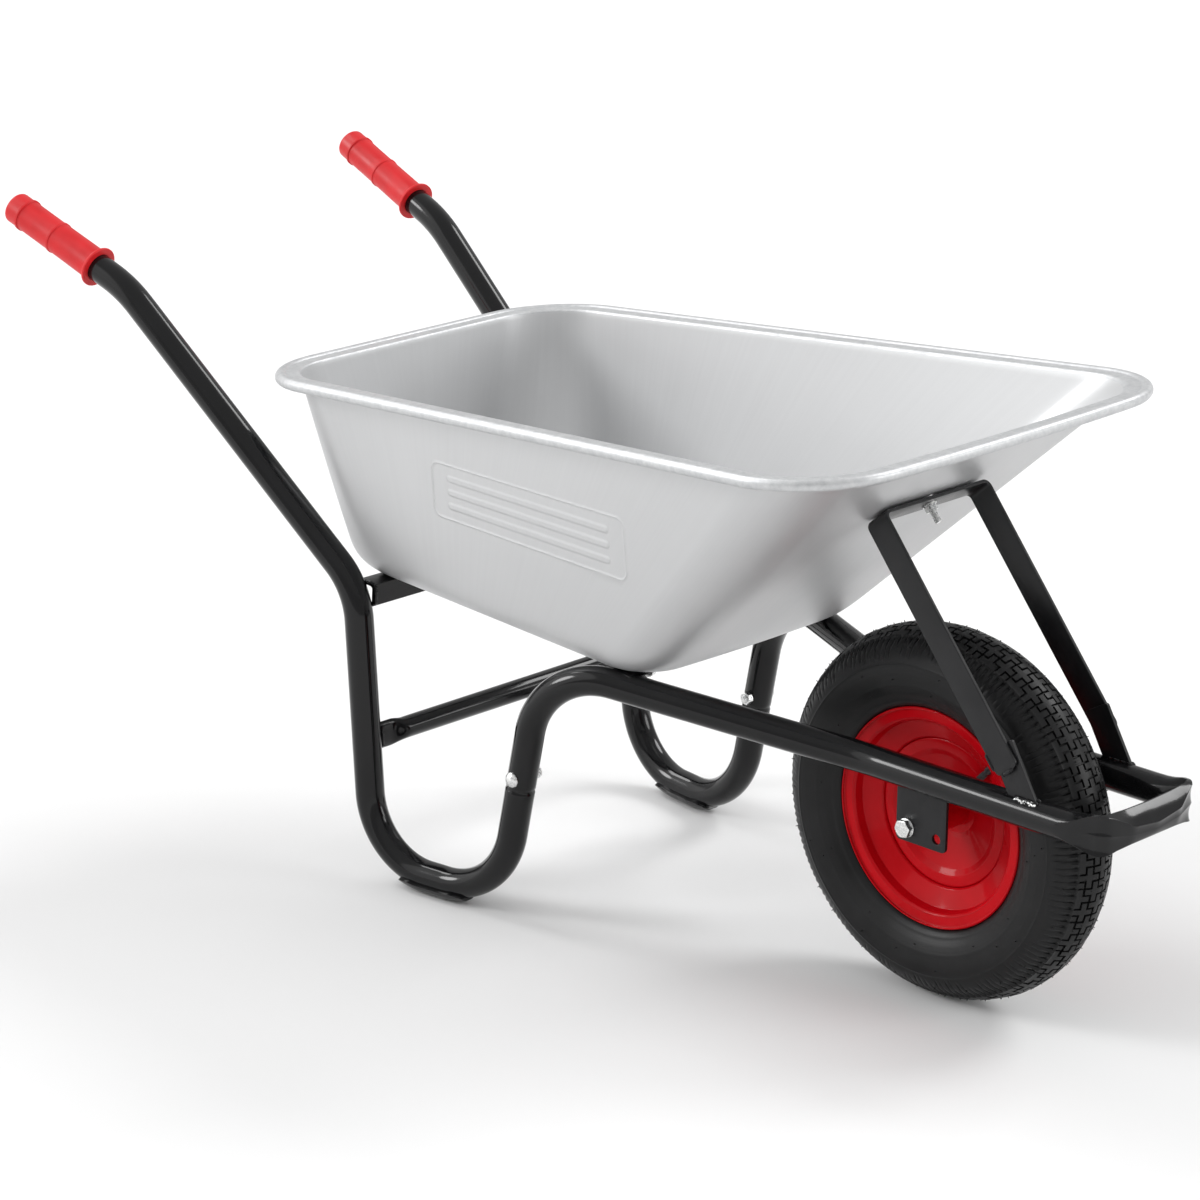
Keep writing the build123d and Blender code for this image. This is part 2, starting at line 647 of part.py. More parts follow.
def tray_fastener(plane, head_base, grip_depth, reach):
    """Carriage bolt, washer and nut through the sheet at a plane on its outside."""
    into = plane.z_dir
    head = dome_head(plane.origin + into * head_base, into, CARRIAGE_HEAD_R, CARRIAGE_HEAD_H)
    bolt = head + rod(plane.origin + into * (head_base + 1), plane.origin - into * reach, M8_R)
    under = plane.origin - into * grip_depth
    washer = ring(under, into * -1, 8, M8_R, WASHER_T)
    nut = hexagon(under - into * WASHER_T, into * -1, M8_NUT_AF, M8_NUT_T)
    nut = nut - rod(under, under - into * 20, M8_R)
    return bolt, washer, nut


def axle_bolt():
    head = hexagon(at(0, -AXLE_SEAT, AXLE_Z), OUTWARD, M10_AF, M10_HEAD_T)
    return head + rod(at(0, -AXLE_SEAT, AXLE_Z), at(0, AXLE_SEAT + M10_NUT_T + 3, AXLE_Z), AXLE_R)


def axle_nut():
    nut = hexagon(at(0, AXLE_SEAT, AXLE_Z), OUTWARD * -1, M10_AF, M10_NUT_T)
    return nut - rod(at(0, AXLE_SEAT - 5, AXLE_Z), at(0, AXLE_SEAT + 20, AXLE_Z), AXLE_R)


def along_axle(y_from, y_to, outer, inner):
    return ring(at(0, y_from, AXLE_Z), OUTWARD * -1, outer, inner, y_to - y_from)


AXLE_SEAT = BRACKET_Y + BRACKET_T + AXLE_WASHER_T


# ---- every piece, one file each ----------------------------------------------------------

def pieces():
    leg = handle_leg_tube()
    shoe = foot_shoe()
    bracket = axle_bracket()
    tab = brace_tab()
    lug = tray_lug()
    hold = grip()
    tray_body = tray()
    joint = (joint_bolt(), joint_nut())
    planes = tray_bolt_planes()
    rear = [tray_fastener(p, SHEET_T, ANGLE_T, 14) for p in planes[:2]]
    front = [tray_fastener(p, SHEET_T, LUG_T, 15) for p in planes[2:4]]
    brace = tray_fastener(planes[4], 1.3, BRACE_T, 25)
    floor_sets = rear + front
    outer_rings, balls, inner_rings = bearing_parts()
    spacer = (BRACKET_Y, HUB_HALF_LENGTH - 0.5)
    inner_half = HUB_HALF_LENGTH - 0.5 - BEARING_W
    return {
        "front_frame_tube": front_frame_tube(),
        "handle_leg_tube_right": leg,
        "handle_leg_tube_left": left(leg),
        "upper_cross_member": upper_cross_member(),
        "lower_cross_tube": lower_cross_tube(),
        "foot_shoe_right": shoe,
        "foot_shoe_left": left(shoe),
        "axle_bracket_right": bracket,
        "axle_bracket_left": left(bracket),
        "brace_tab_right": tab,
        "brace_tab_left": left(tab),
        "brace_strap": brace_strap(),
        "tray_lug_right": lug,
        "tray_lug_left": left(lug),
        "tray": tray_body,
        "grip_right": hold,
        "grip_left": left(hold),
        "joint_bolts": Compound([joint[0], left(joint[0])]),
        "joint_nuts": Compound([joint[1], left(joint[1])]),
        "tray_bolts": Compound([s[0] for s in floor_sets]),
        "tray_washers": Compound([s[1] for s in floor_sets]),
        "tray_nuts": Compound([s[2] for s in floor_sets]),
        "brace_bolt": brace[0] - tray_body,
        "brace_washer": brace[1],
        "brace_nut": brace[2],
        "axle_bolt": axle_bolt(),
        "axle_nut": axle_nut(),
        "axle_washers": Compound([along_axle(AXLE_SEAT - AXLE_WASHER_T, AXLE_SEAT, WASHER_R, AXLE_R),
                                  along_axle(-AXLE_SEAT, -AXLE_SEAT + AXLE_WASHER_T, WASHER_R, AXLE_R)]),
        "spacer_sleeves": Compound([along_axle(spacer[1], spacer[0], 8, BEARING_BORE_R),
                                    along_axle(-spacer[0], -spacer[1], 8, BEARING_BORE_R)]),
        "distance_tube": along_axle(-inner_half, inner_half, 6.3, BEARING_BORE_R),
        "bearing_inner_rings": inner_rings,
        "bearing_outer_rings": outer_rings,
        "bearing_balls": balls,
        "hub_tube": hub_tube(),
        "wheel_disc": wheel_disc(),
        "rim_barrel": rim_barrel(),
        "tyre": tyre(),
        "inner_tube": inner_tube(),
        "valve_stem": valve_stem(),
        "valve_cap": valve_cap(),
    }


for name, shape in pieces().items():
    shape.label = name
    export_step(shape, "parts/" + name + ".step")
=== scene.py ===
"""Wheelbarrow with a pressed sheet tray, bent tube frame and pneumatic wheel.

Sizes are millimetres. x counts forwards from the axle, y to the pusher's left and z up from
the ground.
Pieces are made on the right side (negative y) and mirrored for the left.
"""

import json
import math
import random

import bmesh
import bpy
import numpy as np
from mathutils import Matrix


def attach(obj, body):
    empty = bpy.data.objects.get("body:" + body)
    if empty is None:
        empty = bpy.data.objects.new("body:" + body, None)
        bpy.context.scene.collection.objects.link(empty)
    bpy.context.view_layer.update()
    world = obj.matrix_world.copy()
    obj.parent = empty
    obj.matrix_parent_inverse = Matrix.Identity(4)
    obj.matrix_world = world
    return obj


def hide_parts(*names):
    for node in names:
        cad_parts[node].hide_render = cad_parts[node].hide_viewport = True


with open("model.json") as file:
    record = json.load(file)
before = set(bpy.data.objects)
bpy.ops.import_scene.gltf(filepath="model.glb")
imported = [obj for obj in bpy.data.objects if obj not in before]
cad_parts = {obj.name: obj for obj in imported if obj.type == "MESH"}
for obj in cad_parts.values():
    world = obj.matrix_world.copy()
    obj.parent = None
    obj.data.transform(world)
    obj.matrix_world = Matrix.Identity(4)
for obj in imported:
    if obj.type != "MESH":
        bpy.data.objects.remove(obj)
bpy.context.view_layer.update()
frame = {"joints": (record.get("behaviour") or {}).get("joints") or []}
AXLE_M = frame["joints"][0]["pos_m"]
AXLE_Z = AXLE_M[2] * 1000
TAU = 2 * math.pi


def vec(*p):
    return np.array(p, float)


def unit(v):
    return v / np.linalg.norm(v)


def blend(a, b, t):
    return a + (b - a) * t


# ---- frame geometry ----------------------------------------------------------------------

TUBE_R = 16.0
FOOT_Z = 19.0
GRIP_END = vec(-1176.0, -252.0, 665.5)
GRIP_BEND = vec(-1002.0, -235.5, 600.0)
KNEE = vec(-662.3, -203.5, 323.5)
REAR_FOOT = vec(-635.5, -208.0, FOOT_Z)
FRONT_FOOT = vec(-457.7, -185.2, FOOT_Z)
JOINT = vec(-431.0, -183.5, 150.0)
ARCH_UP = 151.5
FORK_Y, FORK_Z = -70.0, 258.5    # straight run of the front tube beside the wheel
FORK_BEND = vec(-52.0, FORK_Y, FORK_Z)
FRONT_CORNER = vec(247.5, FORK_Y, FORK_Z)
NECK_R = 14.4
NECK_DIR = unit(JOINT - FRONT_FOOT)
ARCH = JOINT + NECK_DIR * ARCH_UP


# ---- mesh helpers ------------------------------------------------------------------------

def placed(name, data):
    ob = bpy.data.objects.new(name, data)
    bpy.context.scene.collection.objects.link(ob)
    return ob


def make(name, verts, faces, body, mats, crease=35.0, face_mat=None, uv=None, node=()):
    """Mesh object in the row frame from station millimetres; uv holds one pair per face corner."""
    v = np.asarray(verts, float) / 1000.0
    v[:, 0] += AXLE_M[0]
    me = bpy.data.meshes.new(name)
    me.from_pydata(v.tolist(), [], [tuple(int(i) for i in f) for f in faces])
    if uv is not None:
        layer = me.uv_layers.new(name="surface")
        layer.data.foreach_set("uv", np.asarray(uv, np.float32).ravel())
    me.polygons.foreach_set("use_smooth", [True] * len(me.polygons))
    if face_mat is not None:
        me.polygons.foreach_set("material_index", [int(i) for i in face_mat])
    me.update()
    bm = bmesh.new()
    bm.from_mesh(me)
    bmesh.ops.recalc_face_normals(bm, faces=bm.faces)
    bm.to_mesh(me)
    bm.free()
    me.set_sharp_from_angle(angle=math.radians(crease))
    ob = placed(name, me)
    for m in mats:
        me.materials.append(m)
    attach(ob, body)
    if node:
        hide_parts(node)
    return ob


def merged(verts, faces):
    """Joins vertices that lie on each other and drops faces that collapse."""
    points, index = np.unique(np.round(verts, 4), axis=0, return_inverse=True)
    index = index.ravel()
    kept = []
    for f in faces:
        g = [int(index[i]) for i in f]
        g = tuple(v for k, v in enumerate(g) if v != g[k - 1])
        if len(g) > 2:
            kept.append(g)
    return points, kept


class Build:
    """Collects vertices and faces of one piece."""

    def __init__(self):
        self.v = []
        self.f = []
        self.n = 0

    def add(self, verts, faces):
        self.f += [tuple(int(i) + self.n for i in f) for f in faces]
        self.v.append(np.asarray(verts, float))
        self.n += len(verts)
        return self

    def rings(self, rings, caps=(True, True), loop=False):
        """Surface through equal rings of points; loop joins the last ring to the first."""
        n = len(rings[0])
        faces = []
        for i in range(len(rings) - (0 if loop else 1)):
            a, b = i * n, (i + 1) % len(rings) * n
            for j in range(n):
                k = (j + 1) % n
                faces.append((a + j, a + k, b + k, b + j))
        last = (len(rings) - 1) * n
        if caps[0] and not loop:
            faces.append(tuple(range(n - 1, -1, -1)))
        if caps[1] and not loop:
            faces.append(tuple(range(last, last + n)))
        return self.add(np.vstack(rings), faces)

    def points(self):
        return np.vstack(self.v)

    def mirrored(self):
        return Build().add(self.points() * vec(1, -1, 1), [f[::-1] for f in self.f])

    def join(self, other):
        return self.add(other.points(), other.f)

    def welded(self):
        return Build().add(*merged(self.points(), self.f))

    def make(self, name, body, slot, mats, node=(), crease=35.0):
        return make(name, self.points(), self.f, body, mats, crease, node=node)


def fillet_path(points, radii, step=3.0):
    """Polyline with arcs of the given radii at its inner points."""
    pts = [np.asarray(p, float) for p in points]
    out = [pts[0]]
    for i in range(1, len(pts) - 1):
        a, b, c = pts[i - 1], pts[i], pts[i + 1]
        u, w = unit(a - b), unit(c - b)
        inner = math.acos(float(np.clip(u @ w, -1, 1)))
        turn = math.pi - inner
        r = radii[i - 1]
        cut = r * math.tan(turn / 2)
        centre = b + unit(u + w) * (r / math.sin(inner / 2))
        v0 = (b + u * cut - centre) / r
        v1 = (b + w * cut - centre) / r
        n = max(4, int(turn * r / step))
        for k in range(n + 1):
            t = turn * k / n
            out.append(centre + r * (math.sin(turn - t) * v0 + math.sin(t) * v1) / math.sin(turn))
    out.append(pts[-1])
    return np.array(out)


def refine(path, step):
    """Adds points so that no run is longer than step."""
    out = [path[0]]
    for a, b in zip(path[:-1], path[1:]):
        n = max(1, int(math.ceil(np.linalg.norm(b - a) / step)))
        out += [a + (b - a) * k / n for k in range(1, n + 1)]
    return np.array(out)


def run_length(path):
    return np.r_[0, np.cumsum(np.linalg.norm(np.diff(path, axis=0), axis=1))]


def frames(path, up):
    """Up and side direction at each point, carried along without twist."""
    t = np.gradient(path, axis=0)
    t /= np.linalg.norm(t, axis=1)[:, None]
    n = np.asarray(up, float)
    ups = []
    for d in t:
        n = unit(n - d * (n @ d))
        ups.append(n)
    ups = np.array(ups)
    return ups, np.cross(ups, t)


def circle(r, n=48):
    a = np.arange(n) * TAU / n
    return np.stack([r * np.cos(a), r * np.sin(a)], 1)


def swept_rings(path, up, section):
    """The (side, up) outline that section gives at each distance along the path."""
    rings = []
    for p, u, b, d in zip(path, *frames(path, up), run_length(path)):
        outline = section(d)
        rings.append(p + b * outline[:, :1] + u * outline[:, 1:])
    return rings


def sweep(path, section, up, out=None):
    return (out or Build()).rings(swept_rings(path, up, section))


def ring_about(direction, n):
    """Angles of n points, their unit circle across a direction, and the unit direction."""
    d = unit(np.asarray(direction, float))
    r = vec(1, 0, 0) if abs(d[2]) > 0.95 else vec(0, 0, 1)
    a = unit(r - d * (r @ d))
    ang = np.arange(n) * TAU / n
    return ang, np.cos(ang)[:, None] * a + np.sin(ang)[:, None] * np.cross(d, a), d


def spin(profile, origin, direction, n=48, out=None, loop=False):
    """Turned surface through (along, radius) points."""
    _, ring, d = ring_about(direction, n)
    rings = [np.asarray(origin, float) + d * s + ring * r for s, r in profile]
    return (out or Build()).rings(rings, loop=loop)


def rounded(profile, radii, steps=4):
    """Open (along, radius) outline with rounded inner corners."""
    pts = [np.asarray(p, float) for p in profile]
    out = [pts[0]]
    for i in range(1, len(pts) - 1):
        r = radii if np.isscalar(radii) else radii[i - 1]
        a, b, c = pts[i - 1], pts[i], pts[i + 1]
        la, lc = np.linalg.norm(a - b), np.linalg.norm(c - b)
        u, w = (a - b) / la, (c - b) / lc
        inner = math.acos(float(np.clip(u @ w, -1, 1)))
        if r <= 0 or inner > math.pi - 0.02:
            out.append(b)
            continue
        cut = min(r / math.tan(inner / 2), la * 0.49, lc * 0.49)
        for k in range(steps + 1):
            t = k / steps
            out.append((1 - t) ** 2 * (b + u * cut) + 2 * t * (1 - t) * b + t * t * (b + w * cut))
    out.append(pts[-1])
    return [tuple(p) for p in out]


PLATE_T, PLATE_EDGE = 4.0, 0.45


def plate(outline, holes, origin, x_dir, y_dir):
    """Flat plate with eased edges and round holes; outline points in the plate's plane."""
    curve = bpy.data.curves.new("plate", "CURVE")
    curve.dimensions = "2D"
    curve.fill_mode = "BOTH"
    curve.extrude = PLATE_T / 2 - PLATE_EDGE
    curve.bevel_depth = PLATE_EDGE
    curve.bevel_resolution = 2
    curve.offset = -PLATE_EDGE
    loops = [outline]
    for cx, cy, r in holes:
        loops.append([(cx + r * math.cos(TAU * k / 32), cy + r * math.sin(TAU * k / 32))
                      for k in range(32)])
    for loop in loops:
        sp = curve.splines.new("POLY")
        sp.points.add(len(loop) - 1)
        for p, q in zip(sp.points, loop):
            p.co = (q[0], q[1], 0, 1)
        sp.use_cyclic_u = True
    ob = bpy.data.objects.new("plate", curve)
    me = bpy.data.meshes.new_from_object(ob)
    verts = np.array([v.co for v in me.vertices])
    faces = [tuple(p.vertices) for p in me.polygons]
    bpy.data.objects.remove(ob)
    bpy.data.meshes.remove(me)
    x = unit(np.asarray(x_dir, float))
    z = unit(np.cross(x, np.asarray(y_dir, float)))
    y = np.cross(z, x)
    pts = np.asarray(origin, float) + verts[:, :1] * x + verts[:, 1:2] * y + verts[:, 2:] * z
    return Build().add(*merged(pts, faces))


def round_poly(points, radii, steps=6):
    """Closed 2-D outline with rounded corners."""
    pts = [np.asarray(p, float) for p in points]
    out = []
    for i, b in enumerate(pts):
        r = radii if np.isscalar(radii) else radii[i]
        a, c = pts[i - 1], pts[(i + 1) % len(pts)]
        u, w = unit(a - b), unit(c - b)
        inner = math.acos(float(np.clip(u @ w, -1, 1)))
        if r <= 0:
            out.append(b)
            continue
        cut = r / math.tan(inner / 2)
        centre = b + unit(u + w) * (r / math.sin(inner / 2))
        v0, v1 = (b + u * cut - centre), (b + w * cut - centre)
        turn = math.pi - inner
        for k in range(steps + 1):
            t = turn * k / steps
            out.append(centre + (math.sin(turn - t) * v0 + math.sin(t) * v1) / math.sin(turn))
    return [tuple(p) for p in out]


def weld(path, r, seed, out):
    """Rippled weld bead along a path."""
    rng = random.Random(seed)
    path = refine(np.asarray(path, float), 1.2)
    s = run_length(path)
    total = s[-1]
    wave = rng.uniform(0, TAU)
    jitter = [rng.uniform(-0.12, 0.12) for _ in range(len(path))]

    def section(d):
        k = min(len(path) - 1, int(round(d / total * (len(path) - 1))))
        end = min(1.0, math.sqrt(max(0.05, min(d, total - d) / (1.2 * r))))
        size = r * end * (1 + 0.13 * math.sin(d * TAU / 2.6 + wave) + jitter[k])
        return circle(size, 10)

    return sweep(path, section, (0.1, 0.2, 1), out)


# ---- materials ---------------------------------------------------------------------------

def material(name, color, rough, metallic=0.0, specular=0.5, coat=0.0, coat_rough=0.1):
    mat = bpy.data.materials.new(name)
    mat.use_nodes = True
    bsdf = mat.node_tree.nodes["Principled BSDF"]
    bsdf.inputs["Base Color"].default_value = (*color, 1)
    bsdf.inputs["Roughness"].default_value = rough
    bsdf.inputs["Metallic"].default_value = metallic
    bsdf.inputs["Specular IOR Level"].default_value = specular
    bsdf.inputs["Coat Weight"].default_value = coat
    bsdf.inputs["Coat Roughness"].default_value = coat_rough
    return mat, mat.node_tree, bsdf


def node(tree, kind, **values):
    n = tree.nodes.new(kind)
    for key, value in values.items():
        if key in n.inputs:
            n.inputs[key].default_value = value
        else:
            setattr(n, key, value)
    return n


def noise(tree, coords, scale, detail=4.0, rough=0.5, stretch=None):
    """Noise value from a coordinate socket, optionally stretched."""
    if stretch:
        m = node(tree, "ShaderNodeMapping")
        m.inputs["Scale"].default_value = stretch
        tree.links.new(coords, m.inputs["Vector"])
        coords = m.outputs["Vector"]
    n = node(tree, "ShaderNodeTexNoise", Scale=scale, Detail=detail, Roughness=rough)
    tree.links.new(coords, n.inputs["Vector"])
    return n.outputs["Fac"]


def spread(tree, value, low, high, low_in=0.3, high_in=0.7):
    """Maps a value to low..high; most noise values lie between the two defaults."""
    r = node(tree, "ShaderNodeMapRange")
    r.inputs["From Min"].default_value = low_in
    r.inputs["From Max"].default_value = high_in
    r.inputs["To Min"].default_value = low
    r.inputs["To Max"].default_value = high
    tree.links.new(value, r.inputs["Value"])
    return r.outputs["Result"]


def weighed(tree, value, weight):
    return spread(tree, value, 0, weight, 0, 1)


def tint(tree, value, dark, light, low=0.3, high=0.7):
    r = node(tree, "ShaderNodeValToRGB")
    r.color_ramp.elements[0].position = low
    r.color_ramp.elements[1].position = high
    r.color_ramp.elements[0].color = (*dark, 1)
    r.color_ramp.elements[1].color = (*light, 1)
    tree.links.new(value, r.inputs["Fac"])
    return r.outputs["Color"]


def bump(tree, bsdf, heights, distance):
    """Adds height values into one bump on the shader's normal."""
    value = heights[0]
    for h in heights[1:]:
        add = node(tree, "ShaderNodeMath", operation="ADD")
        tree.links.new(value, add.inputs[0])
        tree.links.new(h, add.inputs[1])
        value = add.outputs[0]
    b = node(tree, "ShaderNodeBump", Distance=distance)
    tree.links.new(value, b.inputs["Height"])
    tree.links.new(b.outputs["Normal"], bsdf.inputs["Normal"])


def roughened(tree, bsdf, value, low, high):
    tree.links.new(spread(tree, value, low, high), bsdf.inputs["Roughness"])


def coloured(tree, bsdf, *ramp):
    tree.links.new(tint(tree, *ramp), bsdf.inputs["Base Color"])


def coords(tree, kind="Object"):
    return node(tree, "ShaderNodeTexCoord").outputs[kind]


def black_paint():
    mat, t, b = material("frame_black_gloss", (0.005, 0.005, 0.006), 0.16, specular=0.2,
                         coat=0.25, coat_rough=0.06)
    c = coords(t)
    wide = noise(t, c, 18, 3)
    roughened(t, b, wide, 0.11, 0.2)
    coloured(t, b, wide, (0.004, 0.004, 0.0045), (0.006, 0.006, 0.0065))
    bump(t, b, [weighed(t, noise(t, c, 900, 2), 0.3), weighed(t, noise(t, c, 160, 2), 0.7)],
         0.00006)
    return mat


def satin_black():
    mat, t, b = material("bracket_black_satin", (0.010, 0.010, 0.011), 0.34, specular=0.3)
    c = coords(t)
    wide = noise(t, c, 30, 4)
    roughened(t, b, wide, 0.28, 0.40)
    coloured(t, b, wide, (0.007, 0.007, 0.008), (0.013, 0.013, 0.014))
    bump(t, b, [weighed(t, noise(t, c, 1300, 2), 1)], 0.00008)
    return mat


def sheet_zinc():
    mat, t, b = material("tray_sheet_zinc", (0.60, 0.605, 0.61), 0.44, metallic=0.6)
    b.inputs["Anisotropic"].default_value = 0.3
    uv = coords(t, "UV")
    streak = noise(t, uv, 1.0, 3, 0.6, (1300, 9, 1))
    soft = noise(t, uv, 1.0, 3, 0.5, (190, 3.0, 1))
    cloud = noise(t, coords(t), 7, 5)
    grain = noise(t, coords(t), 900, 3)
    mix = node(t, "ShaderNodeMath", operation="MULTIPLY_ADD")
    t.links.new(streak, mix.inputs[0])
    mix.inputs[1].default_value = 0.5
    t.links.new(weighed(t, soft, 0.5), mix.inputs[2])
    coloured(t, b, mix.outputs[0], (0.59, 0.594, 0.60), (0.615, 0.62, 0.625))
    roughened(t, b, cloud, 0.36, 0.48)
    bump(t, b, [weighed(t, streak, 0.25), weighed(t, grain, 0.4)], 0.00005)
    return mat


def rolled_zinc():
    mat, t, b = material("tray_edge_zinc", (0.70, 0.71, 0.72), 0.46, metallic=0.6)
    c = coords(t)
    spots = noise(t, c, 150, 5, 0.65)
    coloured(t, b, spots, (0.50, 0.51, 0.52), (0.62, 0.625, 0.63), 0.32, 0.68)
    roughened(t, b, noise(t, c, 60, 4), 0.4, 0.55)
    bump(t, b, [weighed(t, noise(t, c, 420, 3), 0.4), weighed(t, noise(t, c, 45, 2), 1.0)],
         0.00018)
    return mat


def red_paint():
    mat, t, b = material("rim_red_gloss", (0.56, 0.003, 0.006), 0.22, specular=0.04,
                         coat=0.14, coat_rough=0.06)
    c = coords(t)
    wide = noise(t, c, 25, 3)
    coloured(t, b, wide, (0.43, 0.0015, 0.005), (0.50, 0.002, 0.007))
    roughened(t, b, wide, 0.26, 0.36)
    bump(t, b, [noise(t, c, 220, 2)], 0.00008)
    return mat


def red_grip():
    mat, t, b = material("grip_red_soft", (0.62, 0.010, 0.014), 0.42, specular=0.32)
    b.inputs["Subsurface Weight"].default_value = 0.08
    b.inputs["Subsurface Radius"].default_value = (0.004, 0.001, 0.001)
    c = coords(t)
    wide = noise(t, c, 45, 4)
    coloured(t, b, wide, (0.56, 0.009, 0.012), (0.65, 0.013, 0.017))
    roughened(t, b, wide, 0.36, 0.5)
    bump(t, b, [weighed(t, noise(t, c, 700, 2), 0.5), weighed(t, wide, 0.5)], 0.00018)
    return mat


def tyre_rubber():
    mat, t, b = material("tyre_rubber", (0.010, 0.010, 0.0105), 0.4, specular=0.24)
    c = coords(t)
    wide = noise(t, c, 22, 5)
    coloured(t, b, wide, (0.004, 0.004, 0.0043), (0.009, 0.009, 0.0095))
    roughened(t, b, wide, 0.32, 0.48)
    bump(t, b, [weighed(t, noise(t, c, 1100, 3), 0.6), weighed(t, noise(t, c, 130, 3), 0.6)],
         0.00015)
    return mat


def zinc_hardware():
    mat, t, b = material("bright_zinc", (0.80, 0.80, 0.79), 0.26, metallic=1.0)
    c = coords(t)
    v = noise(t, c, 350, 4)
    coloured(t, b, v, (0.62, 0.63, 0.64), (0.90, 0.90, 0.88))
    roughened(t, b, v, 0.18, 0.36)
    bump(t, b, [noise(t, c, 1500, 3)], 0.00005)
    return mat


def hard_steel():
    mat, t, b = material("bearing_steel", (0.55, 0.55, 0.57), 0.18, metallic=1.0)
    v = noise(t, coords(t), 500, 3)
    roughened(t, b, v, 0.14, 0.26)
    return mat


def black_rubber():
    mat, t, b = material("valve_rubber", (0.02, 0.02, 0.021), 0.45)
    v = noise(t, coords(t), 400, 4)
    roughened(t, b, v, 0.38, 0.55)
    bump(t, b, [v], 0.00006)
    return mat


BLACK = black_paint()
SATIN = satin_black()
SHEET = sheet_zinc()
EDGE = rolled_zinc()
RED = red_paint()
GRIP = red_grip()
RUBBER = tyre_rubber()
ZINC = zinc_hardware()
STEEL = hard_steel()
VALVE = black_rubber()


# ---- frame tubes -------------------------------------------------------------------------

CORNER_R = 9.0
BAR_HALF = -FRONT_CORNER[1]
SEAM_GAP = 5.6


def extended(rings, centre, direction, profile):
    """Carries the last ring of a tube on through (along, radius) points."""
    last = rings[-1] - centre
    return rings + [centre + direction * d + last * (r / TUBE_R) for d, r in profile]


# Section of the front tube by distance from the middle of its corner, below zero back along the
# side and above zero along the cross bar: (outwards, up) of eight ridge points, from the outer
# one over the top and round, then how far each span between them bulges.
ROUND = ([(16, 0), (14.8, 6.1), (0, 16), (-11.31, 11.31), (-16, 0), (-11.31, -11.31),
          (0, -16), (14.8, -6.1)], [0.305, 2.71, 1.22, 1.22, 1.22, 1.22, 2.71, 0.305])
FOLDS = [
    (-44, ROUND),
    (-31, ([(12.6, 0), (13.0, 9.8), (0, 16.4), (-11.3, 11.6), (-15.6, 0), (-11.3, -11.6),
            (0, -16.6), (12.7, -10.2)], [-0.3, 1.7, 1.22, 1.2, 1.2, 1.22, 1.6, -0.2])),
    (-21, ([(7.4, 0), (9.6, 14.8), (0, 17.6), (-11, 12.2), (-14.6, 0), (-11, -12.2),
            (0, -18.1), (9.0, -15.0)], [-0.9, 0.6, 1.3, 1.1, 1.1, 1.3, 0.6, -0.8])),
    (-12, ([(4.0, 0), (4.6, 19.3), (-0.6, 20.2), (-9.8, 12.6), (-12.2, 0), (-9.8, -12.6),
            (-0.6, -20.2), (4.0, -19.3)], [-1.6, 0.1, 0.9, 0.7, 0.7, 0.9, 0.1, -1.8])),
    (0, ([(2.6, 0), (2.4, 20.4), (-1.4, 21.4), (-7.6, 12.0), (-9.0, 0), (-7.6, -12.0),
          (-1.4, -21.6), (2.4, -20.8)], [-1.6, 0.1, 0.4, 0.3, 0.3, 0.4, 0.1, -2.2])),
    (14, ([(7.0, -1), (7.4, 15.4), (-1.4, 20.6), (-8.8, 11.6), (-11.5, 0), (-9.6, -11.6),
           (-1.2, -19.8), (4.6, -17.0)], [-0.9, 0.3, 0.4, 0.6, 0.8, 0.8, 0.4, -0.9])),
    (32, ([(11.0, -4), (13.0, 5.4), (-1.4, 19.4), (-10.4, 10.6), (-14.2, 0), (-11.0, -11.2),
           (-0.6, -18.2), (8.6, -13.6)], [-0.6, 1.0, 0.7, 1.0, 1.1, 1.1, 0.8, 0.2])),
    (66, ([(12.2, -6), (14.4, 1.6), (-1.4, 18.6), (-11.0, 10.6), (-15.3, 0), (-11.3, -11.3),
           (0, -17.3), (9.8, -12.6)], [-0.4, 1.4, 0.8, 1.1, 1.2, 1.2, 1.2, 0.5]))]
ALONG_SPAN = (0, 0.05, 0.14, 0.3, 0.5, 0.7, 0.86, 0.95)


def bulged(points, bulges):
    """Closed section through ridge points; each span is a shallow arc, finer near the ridges."""
    pts = np.array(points, float)
    out = []
    for a, b, h in zip(pts, np.roll(pts, -1, 0), bulges):
        half = np.linalg.norm(b - a) / 2
        along = (b - a) / (2 * half)
        normal = vec(along[1], -along[0])
        turn = 2 * math.atan2(h, half)
        for t in ALONG_SPAN:
            if abs(turn) < 1e-3:
                out.append(blend(a, b, t))
                continue
            r, x = half / math.sin(turn), turn * (2 * t - 1)
            out.append((a + b) / 2 + along * r * math.sin(x)
                       + normal * r * (math.cos(x) - math.cos(turn)))
    return np.array(out)


def crushed_section(s):
    """Section of the front tube at a distance along it from the middle of the cross bar."""
    d = BAR_HALF - CORNER_R + CORNER_R * math.pi / 4 - s
    places = [f[0] for f in FOLDS]
    points = [[np.interp(d, places, [f[1][0][k][i] for f in FOLDS]) for i in (0, 1)]
              for k in range(8)]
    return bulged(points, [np.interp(d, places, [f[1][1][k] for f in FOLDS]) for k in range(8)])


def front_tube():
    """Right half, from the middle of the cross bar to the open end over the leg's neck."""
    end = JOINT + NECK_DIR * SEAM_GAP
    points = [(FRONT_CORNER[0], 0, FRONT_CORNER[2]), FRONT_CORNER, FORK_BEND, ARCH, end]
    path = refine(fillet_path(points, [CORNER_R, 146, 90], 2.5), 4)
    rings = swept_rings(path, (0, 0, 1), crushed_section)
    lip = [(-0.4, 15.75), (-0.5, 15.2), (-0.2, 14.6), (14, 14.5)]
    return Build().rings(extended(rings, end, NECK_DIR, lip), caps=(False, True))


